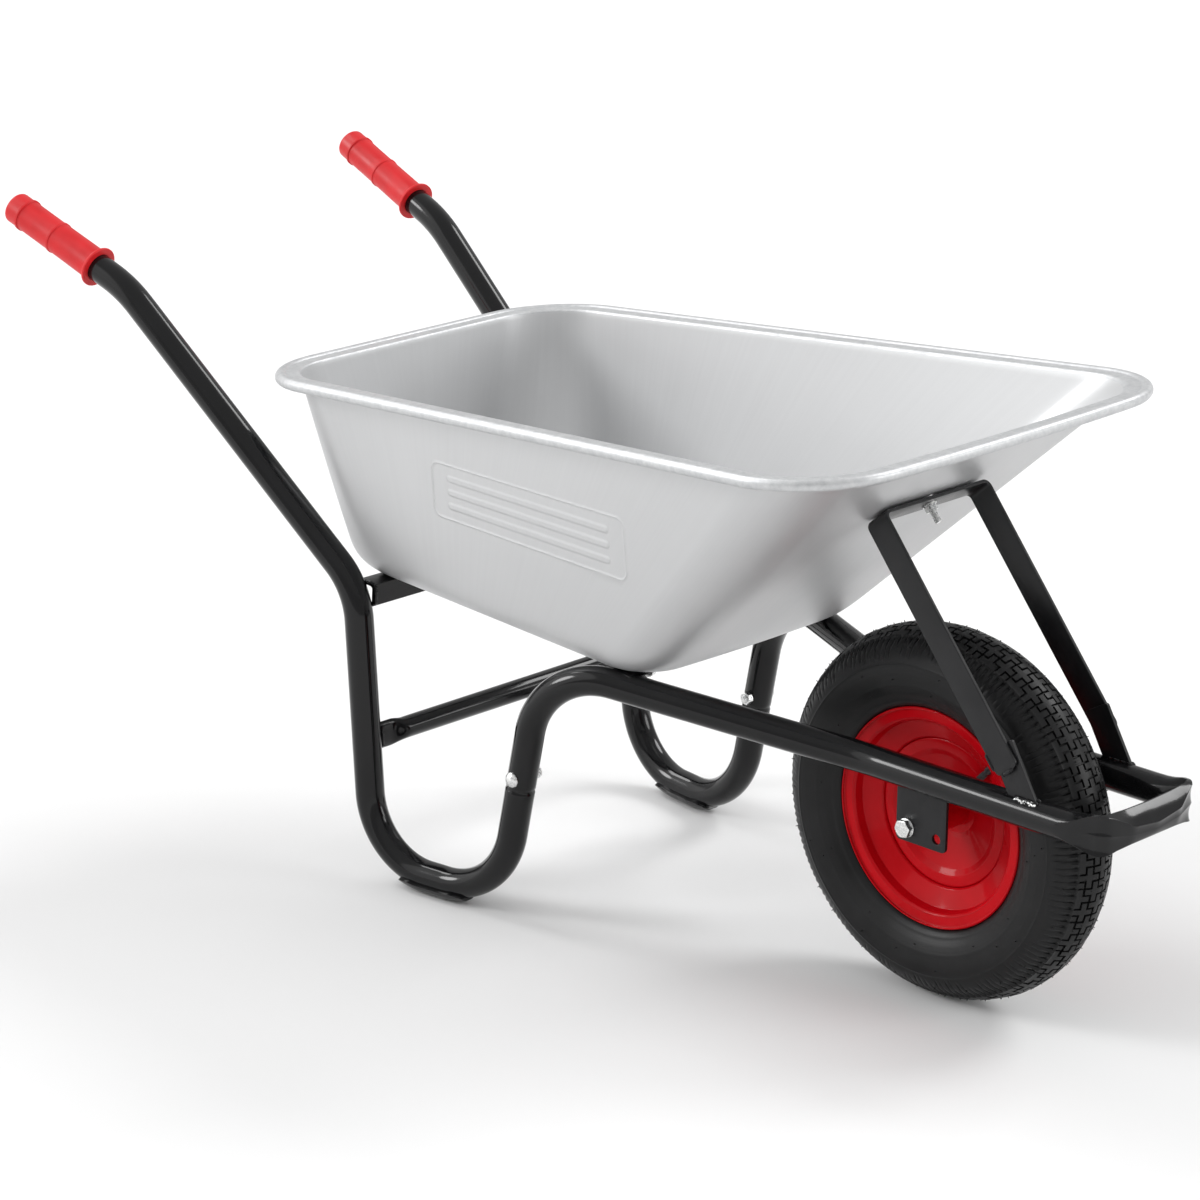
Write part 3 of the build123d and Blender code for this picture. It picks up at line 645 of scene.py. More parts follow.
def leg_tube():
    start = GRIP_END + unit(GRIP_BEND - GRIP_END) * 3
    points = [start, GRIP_BEND, KNEE, REAR_FOOT, FRONT_FOOT, JOINT]
    path = refine(fillet_path(points, [160, 85, 84, 96], 2.5), 8)
    rings = swept_rings(path, (0, 1, 0.2), lambda s: circle(TUBE_R, 56))
    neck = [(0.7, 15.8), (1.5, 15.35), (2.6, 14.9), (4.0, 14.55), (5.0, NECK_R), (44, NECK_R)]
    return Build().rings(extended(rings, JOINT, NECK_DIR, neck))


def pair(build, name, slot, mats, crease=35.0):
    """Makes a right piece and its mirror image for the nodes name_right and name_left."""
    for side, piece in (("right", build), ("left", build.mirrored())):
        piece.make(f"{name}_{side}_piece", "frame", slot, mats, f"{name}_{side}", crease)


front = front_tube()
front.join(front.mirrored()).welded().make(
    "front_frame_tube_piece", "frame", "frame_black", [BLACK], "front_frame_tube", 80)
pair(leg_tube(), "handle_leg_tube", "frame_black", [BLACK], 50)


SHOE_IN, SHOE_OUT = 16.02, 19.6


def foot_shoe():
    """Sleeve plate under the foot loop, worn flat where it stands."""
    path = refine(fillet_path([KNEE, REAR_FOOT, FRONT_FOOT, JOINT], [84, 96], 1.5), 3)
    path = path[(path[:, 0] > -588) & (path[:, 0] < -505) & (path[:, 2] < 60)]
    total = run_length(path)[-1]

    def section(d):
        end = min(d, total - d)
        arc = math.radians(66) * min(1.0, 0.55 + math.sqrt(max(end, 0) / 14) * 0.45)
        ang = np.linspace(-arc, arc, 25)
        outer = SHOE_OUT - 1.2 * max(0.0, 1 - end / 1.5)
        pts = [(outer * math.sin(a), max(-outer * math.cos(a), -FOOT_Z)) for a in ang]
        pts += [(SHOE_IN * math.sin(a), -SHOE_IN * math.cos(a)) for a in ang[::-1]]
        return np.array(pts)

    return sweep(path, section, (0, 0, 1))


pair(foot_shoe(), "foot_shoe", "frame_black", [BLACK])


# ---- cross members -----------------------------------------------------------------------

# rear x, front x, rear z, front z, half width rear, front, corner radius rear, front, bulge
BEAD_LINE = np.array([-806.6, 57.2, 536.5, 601.6, 228.0, 282.8, 97.0, 100.0, 13.0])
FLOOR_LINE = np.array([-766.0, -274.0, 334.5, 301.5, 174.0, 166.0, 110.0, 62.0, 5.0])
FLOOR_SLOPE = (FLOOR_LINE[3] - FLOOR_LINE[2]) / (FLOOR_LINE[1] - FLOOR_LINE[0])
FLOOR_X = unit(vec(1, 0, FLOOR_SLOPE))
FLOOR_UP = unit(vec(-FLOOR_SLOPE, 0, 1))
FLANGE_W = 18.7
ANGLE_X = -650.0
ANGLE_LEG, ANGLE_T = 25.0, 3.0
STAY_X, STAY_Z = -644.0, 156.0
STAY_R, STAY_FLAT = 12.0, 4.0           # round middle, and half thickness of the pressed ends


def on_floor(x, y):
    """Point on the underside of the tray floor."""
    return vec(x, y, FLOOR_LINE[2] + FLOOR_SLOPE * (x - FLOOR_LINE[0]))


def upper_cross_member():
    """Rolled angle with an inner fillet, from knee to knee."""
    outline = np.array(round_poly(
        [(0, 0), (-ANGLE_LEG, 0), (-ANGLE_LEG, -ANGLE_T), (-ANGLE_T, -ANGLE_T),
         (-ANGLE_T, -ANGLE_LEG), (0, -ANGLE_LEG)],
        [0.6, 1.2, 1.2, 3.0, 1.2, 1.2], 4))
    rings = [on_floor(ANGLE_X, y) + outline[:, :1] * FLOOR_X + outline[:, 1:] * FLOOR_UP
             for y in np.linspace(-190, 190, 9)]
    return Build().rings(rings)


def stay():
    """Cross tube whose ends are pressed flat and upright."""
    a = np.arange(40) * TAU / 40
    half = []
    for y in list(np.linspace(0, 150, 6)) + list(np.linspace(154, 198, 16)):
        k = float(np.clip((y - 154) / 22, 0, 1))
        k = k * k * (3 - 2 * k)
        half_wide = STAY_R + (STAY_FLAT - STAY_R) * k
        half.append(np.stack([STAY_X + half_wide * np.cos(a), np.full(40, -y),
                              STAY_Z + (STAY_R + 3.5 * k) * np.sin(a)], 1))
    return Build().rings([r * vec(1, -1, 1) for r in half[:0:-1]] + half)


upper_cross_member().make("upper_cross_member_piece", "frame", "frame_black", [BLACK],
                          "upper_cross_member")
stay().make("lower_cross_tube_piece", "frame", "frame_black", [BLACK], "lower_cross_tube")


# ---- wheel carrier and brace -------------------------------------------------------------

SPARE_HOLE = (38.0, 194.5)
BRACKET_Y, TAB_Y = 62.0, 74.0           # middles of the two plates, out from the wheel
BRACE_ANGLE = math.radians(50.7)
BRACE_DIR = vec(math.cos(BRACE_ANGLE), 0, -math.sin(BRACE_ANGLE))
BRACE_ACROSS = vec(math.sin(BRACE_ANGLE), 0, math.cos(BRACE_ANGLE))
BRACE_FOOT = vec(137, 0, 298)
BRACE_W, BRACE_T, BRACE_Y = 30.0, 4.0, 80.0
LUG_BOLT = (-313.0, 112.0)
REAR_BOLT = (ANGLE_X - 14, 110.0)


def axle_bracket():
    outline = round_poly([(-14, 182), (50, 182), (50, 262), (-14, 262)], [5, 5, 0, 0])
    holes = [(0, AXLE_Z, 5.25), (*SPARE_HOLE, 5.25)]
    return plate(outline, holes, vec(0, -BRACKET_Y, 0), (1, 0, 0), (0, 0, 1))


def brace_head():
    """Back of the cross bar at mid-width, where its lower edge meets the front wall."""
    slope = (BEAD_LINE[3] - BEAD_LINE[2]) / (BEAD_LINE[1] - BEAD_LINE[0])
    low = vec(FLOOR_LINE[1] + FLOOR_LINE[8], 0, FLOOR_LINE[3])
    high = vec(BEAD_LINE[1] - FLANGE_W + BEAD_LINE[8], 0, BEAD_LINE[3] + 4 - FLANGE_W * slope)
    rise = unit(high - low)
    normal = vec(rise[2], 0, -rise[0])
    edge = BRACE_FOOT - BRACE_ACROSS * (BRACE_W / 2)
    return BRACE_FOOT - BRACE_DIR * (normal @ (edge - low) / (normal @ BRACE_DIR))


BRACE_HEAD = brace_head()


def brace_strap():
    half = BRACE_T / 2
    length = float(np.linalg.norm(BRACE_FOOT - BRACE_HEAD))
    y = BRACE_Y - half
    corners = [BRACE_HEAD + vec(0, side, 0) + BRACE_DIR * down
               for side, down in ((-y, length), (-y, half), (y, half), (y, length))]
    path = refine(fillet_path(corners, [7, 7], 1.2), 5)
    steps = np.array([[0.4], [1.2], [2.5], [4.0], [6.0]])
    path = np.vstack([path[:1], path[0] + unit(path[1] - path[0]) * steps, path[2:-2],
                      path[-1] + unit(path[-2] - path[-1]) * steps[::-1], path[-1:]])
    total = run_length(path)[-1]

    def section(s):
        end = min(s, total - s)
        cut = 6 - math.sqrt(max(0.0, 36 - (6 - end) ** 2)) if end < 6 else 0.0
        w = BRACE_W / 2 - cut
        return np.array(round_poly([(-half, -w), (half, -w), (half, w), (-half, w)], 0.8, 3))

    return sweep(path, section, BRACE_ACROSS)


def brace_tab():
    outline = round_poly([(142, 262), (177, 262), (137, 330), (111.5, 315)], [0, 0, 2.5, 2.5])
    return plate(outline, [], vec(0, -TAB_Y, 0), (1, 0, 0), (0, 0, 1))


def tray_lug():
    outline = round_poly([(-15, -44), (15, -44), (15, 16), (-15, 16)], [0, 0, 4, 4])
    origin = on_floor(LUG_BOLT[0], -LUG_BOLT[1]) - FLOOR_UP * 2
    return plate(outline, [(0, 0, 4.4)], origin, FLOOR_X, (0, 1, 0))


pair(axle_bracket(), "axle_bracket", "bracket_dark", [SATIN])
pair(brace_tab(), "brace_tab", "bracket_dark", [SATIN])
pair(tray_lug(), "tray_lug", "frame_black", [BLACK])
brace_strap().make("brace_strap_piece", "frame", "bracket_dark", [SATIN], "brace_strap")


# ---- grips -------------------------------------------------------------------------------

def grip():
    along = unit(GRIP_BEND - GRIP_END)
    outline = [(0, 5), (0, 18), (18, 18), (18.3, 19.3), (21.7, 19.3), (22, 18), (70, 18),
               (70.4, 18.9), (73.6, 18.9), (74, 18), (133, 18.4), (136, 22.6), (137.6, 23.5),
               (140, 23.5), (140, 16.1), (132, 16.1)]
    radii = [3.2, 0.4, 0.6, 0.6, 0.4, 0.4, 0.5, 0.5, 0.4, 2.5, 1.0, 0.8, 0.9, 0.5]
    return spin(rounded(outline, radii), GRIP_END, along, 64)


pair(grip(), "grip", "grip_red", [GRIP])


# ---- tray --------------------------------------------------------------------------------

BEAD_R = 6.4
SHEET_T = 1.2
FLANGE_RISE = 4.0
SIDE_FINE = 290                 # steps along the right side, where the panel is pressed in
PANEL_MIDDLE = (-396.0, 463.0)


def inset(line, out, up=0.0):
    """Outline moved outwards in its own plane by out, and lifted by up."""
    slope = (line[3] - line[2]) / (line[1] - line[0])
    step = [-out, out, up - out * slope, up + out * slope, out, out, out, out, 0]
    line = line + np.array(step)
    line[6:8] = np.maximum(line[6:8], 4)
    return line


def outline_half(line, side_steps):
    """Right half of a tray outline from rear middle to front middle."""
    rear, front, z_rear, z_front, w_rear, w_front, r_rear, r_front, bulge = line
    slope = (z_front - z_rear) / (front - rear)
    stretch = math.sqrt(1 + slope ** 2)
    length = (front - rear) * stretch
    turn = math.atan2(w_front - w_rear, length)
    run = vec(math.cos(turn), -math.sin(turn))
    inward = vec(math.sin(turn), math.cos(turn))
    start = vec(0, -w_rear)
    # rear corner: a circle touching the rear edge and the side
    centre = start + run * ((r_rear - r_rear * inward[0]) / run[0]) + inward * r_rear
    rear_arc = [centre + r_rear * vec(-math.cos(a), -math.sin(a))
                for a in np.linspace(0, math.pi / 2 - turn, 22)]
    # front corner: a circle touching the side and the bulging front edge
    big = (w_front ** 2 + bulge ** 2) / (2 * bulge)
    hub = vec(length + bulge - big, 0)
    base = start + inward * r_front - hub
    b = base @ run
    s = -b + math.sqrt(b * b - (base @ base - (big - r_front) ** 2))
    front_centre = hub + base + run * s
    out = unit(front_centre - hub)
    first = math.atan2(-inward[1], -inward[0])
    last = math.atan2(out[1], out[0])
    front_arc = [front_centre + r_front * vec(math.cos(a), math.sin(a))
                 for a in np.linspace(first, last, 22)]
    edge = [hub + big * vec(math.cos(a), math.sin(a)) for a in np.linspace(last, 0, 14)[1:]]
    begin = [vec(0, y2) for y2 in np.linspace(0, rear_arc[0][1], 9)[:-1]]
    side = [blend(rear_arc[-1], front_arc[0], f) for f in side_steps]
    pts = np.array(begin + rear_arc + side + front_arc + edge)
    return np.stack([rear + pts[:, 0] / stretch, pts[:, 1],
                     z_rear + pts[:, 0] / stretch * slope], 1)


PANEL_SIDE = np.r_[np.linspace(0, 0.24, 10)[1:], np.linspace(0.245, 0.935, SIDE_FINE),
                   np.linspace(0.95, 1, 4)[:-1]]
PLAIN_SIDE = np.linspace(0, 1, 60)[1:-1]


def outline(line):
    left = outline_half(line, PLAIN_SIDE)[-2:0:-1] * vec(1, -1, 1)
    return np.vstack([outline_half(line, PANEL_SIDE), left])


def bead(angle, r):
    """Outline on the rolled edge; the angle is measured outwards from the inner side."""
    a = math.radians(angle)
    return inset(BEAD_LINE, r * math.cos(a), r * math.sin(a))


def bezier(a, b, c, n):
    return [blend(blend(a, b, t), blend(b, c, t), t) for t in np.linspace(0, 1, n)]


def skin(thick):
    """Outlines from the flat of the floor up to the top of a wall, moved in by thick."""
    edge = 22.0
    floor = inset(FLOOR_LINE, -thick, thick)
    top = inset(BEAD_LINE, -FLANGE_W - thick, FLANGE_RISE)
    low = inset(floor, -edge)
    wall = blend(floor, top, edge / (top[2] - floor[2]))
    return bezier(low, floor, wall, 9), wall, top


def tray_lines():
    """(outline, kind) from the floor's middle up the inside, round the edge and back outside."""
    foot_in, wall_in, top_in = skin(SHEET_T)
    foot_out, wall_out, top_out = skin(0.0)
    heights = np.r_[np.linspace(0, 0.34, 12)[1:], np.linspace(0.35, 0.73, 76),
                    np.linspace(0.75, 0.985, 10)]
    lines = [(x, "wall") for x in foot_in]
    lines += [(blend(wall_in, top_in, t), "wall") for t in heights]
    flat_in = inset(BEAD_LINE, -FLANGE_W - SHEET_T + 4, FLANGE_RISE)
    lines += [(x, "edge") for x in bezier(blend(wall_in, top_in, 0.985), top_in, flat_in, 6)[1:]]
    lines += [(inset(BEAD_LINE, out, FLANGE_RISE), "edge") for out in (-11, -7.2, -5.7)]
    lines += [(bead(x, BEAD_R), "edge") for x in np.linspace(139, -180, 30)]
    lines += [(bead(-182, 5.9), "edge"), (bead(-180, 5.3), "edge")]
    lines += [(bead(x, 5.2), "edge") for x in np.linspace(-170, 147, 12)]
    under = FLANGE_RISE - SHEET_T
    lines += [(inset(BEAD_LINE, out, under), "edge") for out in (-5.5, -9)]
    turn_out = inset(BEAD_LINE, -FLANGE_W + 2, under)
    corner = blend(wall_out, top_out, 0.994)
    lines += [(x, "edge") for x in bezier(turn_out, corner, blend(wall_out, top_out, 0.98), 4)]
    lines += [(blend(wall_out, top_out, t), "wall") for t in heights[::-1][1:]]
    lines += [(x, "wall") for x in foot_out[::-1]]
    return lines


def segment_distance(x, z, a, b):
    d = np.subtract(b, a)
    t = np.clip(((x - a[0]) * d[0] + (z - a[1]) * d[1]) / (d @ d), 0, 1)
    return np.hypot(x - a[0] - t * d[0], z - a[1] - t * d[1])


def panel_height(u, v):
    """Pressed pattern in millimetres; u runs forwards and v up from the panel's middle."""
    half_u, half_v, corner = 145.0, 34.0, 10.0
    q = np.maximum(np.abs(u) - half_u + corner, 0), np.maximum(np.abs(v) - half_v + corner, 0)
    inside = np.minimum(np.maximum(np.abs(u) - half_u, np.abs(v) - half_v) + corner, 0)
    ring = np.abs(np.hypot(*q) + inside - corner)
    line = 0.5 + 0.5 * np.cos(math.pi * np.clip(ring / 2.0, 0, 1))
    ribs = np.zeros_like(u)
    for k in (-1, 0, 1):
        d = segment_distance(u, v, (-118.0, k * 17.0), (118.0, k * 17.0))
        ribs = np.maximum(ribs, 0.5 - 0.5 * np.cos(math.pi * np.clip((4.6 - d) / 2.0, 0, 1)))
    return 0.9 * line + 1.0 * ribs


def tray():
    lines = tray_lines()
    rings = np.array([outline(line) for line, _ in lines])
    count = rings.shape[1]
    # the panel is pressed into the right wall, in both skins
    around = np.roll(rings, -1, 1) - np.roll(rings, 1, 1)
    along = np.gradient(rings, axis=0)
    out = np.cross(around, along)
    out /= np.maximum(np.linalg.norm(out, axis=2), 1e-9)[:, :, None]
    out *= np.sign(out[:, :, 1] * rings[:, :, 1])[:, :, None]
    u = rings[:, :, 0] - PANEL_MIDDLE[0]
    v = rings[:, :, 2] - PANEL_MIDDLE[1] - 0.01 * u
    u = u - 1.5 - 0.176 * v
    v = (v - 0.5 + 0.015 * u) / (1 + 0.00044 * u)
    wall = np.array([kind == "wall" for _, kind in lines])[:, None]
    near = wall & (rings[:, :, 1] < -150) & (np.abs(u) < 155) & (np.abs(v) < 40)
    height = np.where(near, panel_height(u, v), 0.0)
    rings = rings + out * height[:, :, None]

    bead_ring = outline(BEAD_LINE)
    steps = np.linalg.norm(np.roll(bead_ring, -1, 0) - bead_ring, axis=1)
    turn = np.r_[0, np.cumsum(steps)] / 1000
    rise = np.r_[0, np.cumsum([np.linalg.norm(b[40] - a[40])
                               for a, b in zip(rings[:-1], rings[1:])])] / 1000
    faces, kinds, uv = [], [], []
    last = len(rings) - 1
    for i in range(last):
        kind = 1 if lines[i][1] == "edge" or lines[i + 1][1] == "edge" else 0
        for j in range(count):
            k = (j + 1) % count
            faces.append((i * count + j, i * count + k, (i + 1) * count + k, (i + 1) * count + j))
            kinds.append(kind)
            uv += [(turn[j], rise[i]), (turn[j + 1], rise[i]), (turn[j + 1], rise[i + 1]),
                   (turn[j], rise[i + 1])]
    verts = rings.reshape(-1, 3)
    floor_in = tuple(range(count - 1, -1, -1))
    floor_out = tuple(range(last * count, (last + 1) * count))
    for f in (floor_in, floor_out):
        faces.append(f)
        kinds.append(0)
        uv += [(verts[i][1] / 1000, verts[i][0] / 1000) for i in f]
    return make("tray_piece", verts, faces, "frame", [SHEET, EDGE], 32, kinds, uv,
                "tray")


tray()


# ---- wheel -------------------------------------------------------------------------------

AXLE = vec(0, 0, AXLE_Z)
ALONG_Y = vec(0, 1, 0)
CROWN_R, HALF_WIDTH, WIDEST_R = 197.0, 44.6, 158.0
CELL = 8.0                      # tread lattice across
CELLS_ROUND, CELLS_ACROSS = 155, 7
GROOVE, GROOVE_SLOPE, GROOVE_DEPTH = 0.75, 0.4, 3.6


def turned(profile, n=128, out=None):
    """Closed outline of (y, radius) points turned about the axle."""
    return spin(profile, AXLE, ALONG_Y, n, out, loop=True)


def strip(points, thickness, corner=2.0, steps=4):
    """Closed outline of a bent strip about a (y, radius) mid-line, with rounded ends."""
    mid = np.array(rounded(points, corner, steps))
    t = np.gradient(mid, axis=0)
    t /= np.linalg.norm(t, axis=1)[:, None]
    n = np.stack([-t[:, 1], t[:, 0]], 1)
    h = thickness / 2
    a = np.linspace(0, math.pi, 6)[1:-1]
    tail = [mid[-1] + h * (n[-1] * math.cos(x) + t[-1] * math.sin(x)) for x in a]
    head = [mid[0] - h * (n[0] * math.cos(x) + t[0] * math.sin(x)) for x in a]
    return [tuple(p) for p in [*(mid + n * h), *tail, *(mid - n * h)[::-1], *head]]


RIM_LINE = [(-31.0, 114.4), (-30.2, 115.4), (-28.6, 115.0), (-27.6, 112.6), (-27.2, 103.6),
            (-25.6, 101.7), (-17.2, 99.6), (-8.8, 80.6), (-7.4, 79.4)]
RIM_LINE += [(-y, r) for y, r in RIM_LINE[::-1]]
DISC_LINE = [(5.5, 77.35), (-6.2, 77.35), (-6.2, 67.0), (-2.4, 61.0), (4.6, 44.0), (9.8, 31.0),
             (12.2, 26.0), (12.2, 17.5)]


def tyre_outline():
    """Outer (y, radius) points from the crown down to the bead, as in the casing."""
    rounding = 2 / 1.83
    pts = []
    for a in np.linspace(math.pi / 2, 0, 60):
        pts.append((HALF_WIDTH * math.cos(a) ** rounding,
                    WIDEST_R + (CROWN_R - WIDEST_R) * max(math.sin(a), 0) ** rounding))
    side = [(44.45, 153.0), (43.8, 148.0), (42.9, 142.5), (41.5, 137.0),
            (39.3, 131.3), (36.5, 126.0), (33.4, 121.6), (31.4, 119.0)]
    return np.array(pts + side)


def tread_steps(count, width):
    """Places across whole lattice cells: both edges of each groove wall and the middle."""
    wall = GROOVE + GROOVE_SLOPE
    cell = np.array([0.0, GROOVE, wall, width / 2, width - wall, width - GROOVE])
    return (np.arange(count)[:, None] * width + cell).ravel()


def plus_centre(i, j):
    """The plus of five cells that a lattice cell belongs to."""
    m = (i + 2 * j) % 5
    di, dj = ((0, 0), (-1, 0), (0, -1), (0, 1), (1, 0))[m]
    return (i + di) % CELLS_ROUND, j + dj


def raised(x, y, width, reach):
    """True on top of a block: all that lies within reach belongs to one plus."""
    cells = {plus_centre(int(math.floor((x + a) / width)), int(math.floor((y + b) / CELL)))
             for a in (-reach, 0, reach) for b in (-reach, 0, reach)}
    return len(cells) == 1


def tyre():
    """Casing with a lattice of cross-shaped blocks, ribbed shoulders and moulded side lines."""
    line = tyre_outline()
    s = run_length(line)
    unrolled = TAU * CROWN_R / CELLS_ROUND
    around = tread_steps(CELLS_ROUND, unrolled)
    angles = around / (unrolled * CELLS_ROUND) * TAU
    edge = CELLS_ACROSS * CELL / 2
    across = tread_steps(CELLS_ACROSS, CELL) - edge
    across = across[across > -edge + 1e-6]
    across = np.r_[across, edge] if across[-1] < edge else across
    reach = GROOVE + GROOVE_SLOPE / 2
    grid = np.array([[raised(x, y + edge, unrolled, reach) for x in around] for y in across])
    rng = random.Random(3)
    worn = {}
    for i in range(CELLS_ROUND):
        for j in range(-2, CELLS_ACROSS + 2):
            worn[i, j] = rng.uniform(0, 0.7)
    top = [[worn.get(plus_centre(int(x // unrolled), int((y + edge) // CELL)), 0.3)
            for x in around] for y in across]
    depth = np.where(grid, np.array(top), GROOVE_DEPTH)
    depth[0, :] = depth[-1, :] = 0.0
    depth[np.abs(across) > edge - 1.3] *= 0.3

    def station(d):
        """Point, outward normal at a distance from the crown, for the positive side."""
        y = np.interp(d, s, line[:, 0])
        r = np.interp(d, s, line[:, 1])
        y2, r2 = np.interp(d + 0.6, s, line[:, 0]), np.interp(d + 0.6, s, line[:, 1])
        y1, r1 = np.interp(max(d - 0.6, 0), s, line[:, 0]), np.interp(max(d - 0.6, 0), s,
                                                                      line[:, 1])
        t = unit(vec(y2 - y1, r2 - r1))
        return y, r, -t[1], t[0]

    # ribs run down the shoulder from every groove of the lattice
    rib = np.tile([1.0, 1.0, 0.6, 0.0, 0.6, 1.0], CELLS_ROUND)
    rib = rib * np.repeat([rng.uniform(0.75, 1.25) for _ in range(CELLS_ROUND)],
                          len(around) // CELLS_ROUND)
    total = s[-1]
    shoulder = np.r_[edge + 0.6, np.arange(edge + 2.2, 58.0, 2.4)]
    side = np.r_[58.6, np.arange(60.2, total - 0.5, 1.6), total]

    rib_end = np.repeat([57.8 - rng.uniform(0, 13) for _ in range(CELLS_ROUND)],
                        len(around) // CELLS_ROUND)

    def side_depth(d):
        if d < 57.5:
            fade = min(1.0, (d - edge) / 1.6) * np.clip((rib_end - d) / 6.0, 0, 1)
            return rib * (0.7 + 2.3 * math.exp(-((d - edge) / 8.0) ** 2)) * fade
        bump = 0.55 * math.exp(-((d - 60.2) / 0.75) ** 2)
        bump += 0.45 * math.exp(-((d - 83.0) / 0.7) ** 2)
        bump += 0.9 / (1 + math.exp(-(d - (total - 6.5)) / 0.35))
        return np.full(len(around), -bump)

    rings = []

    def ring(d, sign, drop):
        y, r, ny, nr = station(abs(d))
        rr = r - drop * nr
        yy = sign * (y - drop * ny)
        rings.append(np.stack([rr * np.cos(angles), yy * np.ones(len(angles)),
                               AXLE_Z + rr * np.sin(angles)], 1))

    outer = list(shoulder) + list(side)
    for d in outer[::-1]:
        ring(d, -1, side_depth(d))
    for d, drop in zip(across, depth):
        ring(d, -1 if d < 0 else 1, drop)
    for d in outer:
        ring(d, 1, side_depth(d))
    inner = [(30.4, 117.2), (28.6, 116.2), (28.2, 113.0), (28.0, 103.8), (26.0, 102.3),
             (17.9, 100.6), (17.6, 106), (21.5, 113), (33, 125), (38, 140), (39.5, 158),
             (35, 175), (24, 186), (0, 190.0)]
    inner += [(-y, r) for y, r in inner[-2::-1]]
    for y, r in inner:
        rings.append(np.stack([r * np.cos(angles), np.full(len(angles), y),
                               AXLE_Z + r * np.sin(angles)], 1))
    return Build().rings(rings, loop=True)


def vent_nibs():
    """Short moulding pips on the sidewalls and shoulders."""
    rng = random.Random(11)
    out = Build()
    line = tyre_outline()
    s = run_length(line)
    for sign in (-1, 1):
        for count, d, length in ((9, 66.0, 3.0), (7, 76.0, 2.6), (12, 88.0, 1.8), (24, 42.0, 2.2),
                                 (52, 20.0, 1.2), (52, 4.0, 1.2), (52, 12.0, 1.2)):
            start = rng.uniform(0, TAU)
            for k in range(count):
                a = start + TAU * k / count + rng.uniform(-0.06, 0.06)
                y, r = np.interp(d, s, line[:, 0]), np.interp(d, s, line[:, 1])
                y2, r2 = np.interp(d + 1, s, line[:, 0]), np.interp(d + 1, s, line[:, 1])
                n = unit(vec(-(r2 - r), y2 - y))
                radial = vec(math.cos(a), 0, math.sin(a))
                direction = radial * n[1] + vec(0, sign * n[0], 0)
                foot = AXLE + radial * r + vec(0, sign * y, 0)
                tilt = radial * rng.uniform(-0.3, 0.3)
                tip = length * rng.uniform(0.5, 1.0)
                spin([(-0.8, 0.55), (0.3, 0.5), (tip, 0.33), (tip + 0.25, 0.15)], foot,
                     direction + tilt, 8, out)
    return out


def rim():
    return turned(strip(RIM_LINE, 1.6, 1.6), 160)


def disc():
    return turned(strip(DISC_LINE, 2.5, [1.7, 2.2, 8, 12, 6, 2], 6), 144)


def hub():
    outline = [(-45, 13.6), (-45, 17), (-44.5, 17.5), (-13.4, 17.5), (44.5, 17.5), (45, 17),
               (45, 13.6), (44.4, 13), (36, 13), (36, 11.5), (-36, 11.5), (-36, 13), (-44.4, 13)]
    return turned(outline, 72)


def bearing_seal(out):
    """Outer ring with its rubber seal, on both ends of the hub."""
    for sign in (-1, 1):
        ring = [(36.5, 12.95), (44.2, 12.95), (44.5, 12.7), (44.5, 11.6), (44.1, 11.3),
                (43.9, 10.9), (43.7, 8.2), (44.1, 7.6), (43.9, 7.2), (42.8, 7.1), (42.8, 10.8),
                (36.5, 10.8)]
        turned([(sign * y, r) for y, r in ring], 72, out=out)
    return out


VALVE_ANGLE = math.radians(46.5)
VALVE_OUT = vec(math.cos(VALVE_ANGLE), 0, math.sin(VALVE_ANGLE))
VALVE_AT = AXLE + vec(0, -12.0, 0)


def valve_stem():
    outline = [(74.5, 2.0), (74.5, 2.8), (83.5, 2.8), (83.5, 3.6), (85.5, 4.2), (90, 4.3),
               (96, 4.6), (99, 6.5), (101.5, 7.4), (103.5, 7.2), (120, 6.5), (120, 2.0)]
    return spin(rounded(outline, [0.2, 0.2, 0.3, 0.8, 1, 2, 1.5, 1, 0.8, 1], 3), VALVE_AT,
                VALVE_OUT, 32)


def valve_cap():
    """Cap with fine grip ridges."""
    profile = [(67.5, 1.4), (67.5, 2.7), (68.1, 3.2), (69.0, 3.5), (79.6, 3.5), (80.4, 3.2),
               (80.5, 2.6)]
    _, circle_out, d = ring_about(VALVE_OUT, 72)
    rings = []
    for s, r in profile:
        ridge = np.where(np.arange(72) % 4 < 2, 0.0, -0.28) if 3.1 < r else np.zeros(72)
        rings.append(VALVE_AT + d * s + (r + ridge)[:, None] * circle_out)
    return Build().rings(rings)


def wheel_piece(build, name, slot, mats, node=(), crease=35.0):
    return build.make(name, "wheel", slot, mats, node, crease)


wheel_piece(tyre(), "tyre_piece", "tyre_black", [RUBBER], "tyre", 30)
wheel_piece(vent_nibs(), "tyre_vent_pips", "tyre_black", [RUBBER])
wheel_piece(rim(), "rim_barrel_piece", "rim_red", [RED], "rim_barrel", 40)
wheel_piece(disc(), "wheel_disc_piece", "rim_red", [RED], "wheel_disc", 40)
wheel_piece(hub(), "hub_tube_piece", "rim_red", [RED], "hub_tube", 40)
wheel_piece(bearing_seal(Build()), "bearing_seal_piece", "bearing_steel", [VALVE],
            "bearing_outer_rings")
wheel_piece(valve_stem(), "valve_stem_piece", "rubber_black", [VALVE], "valve_stem")
wheel_piece(valve_cap(), "valve_cap_piece", "rubber_black", [VALVE], "valve_cap")


# ---- fasteners ---------------------------------------------------------------------------

AXLE_SEAT = 66.0
M8_R, M8_PITCH, M8_FLATS = 4.0, 1.25, 13.0
M10_R, M10_PITCH, M10_FLATS = 4.95, 1.5, 17.0
WASHER_T = 1.6
BOLT_POINT = JOINT + NECK_DIR * 16
JOINT_OUT = unit(vec(0, -1, 0) - NECK_DIR * (NECK_DIR @ vec(0, -1, 0)))


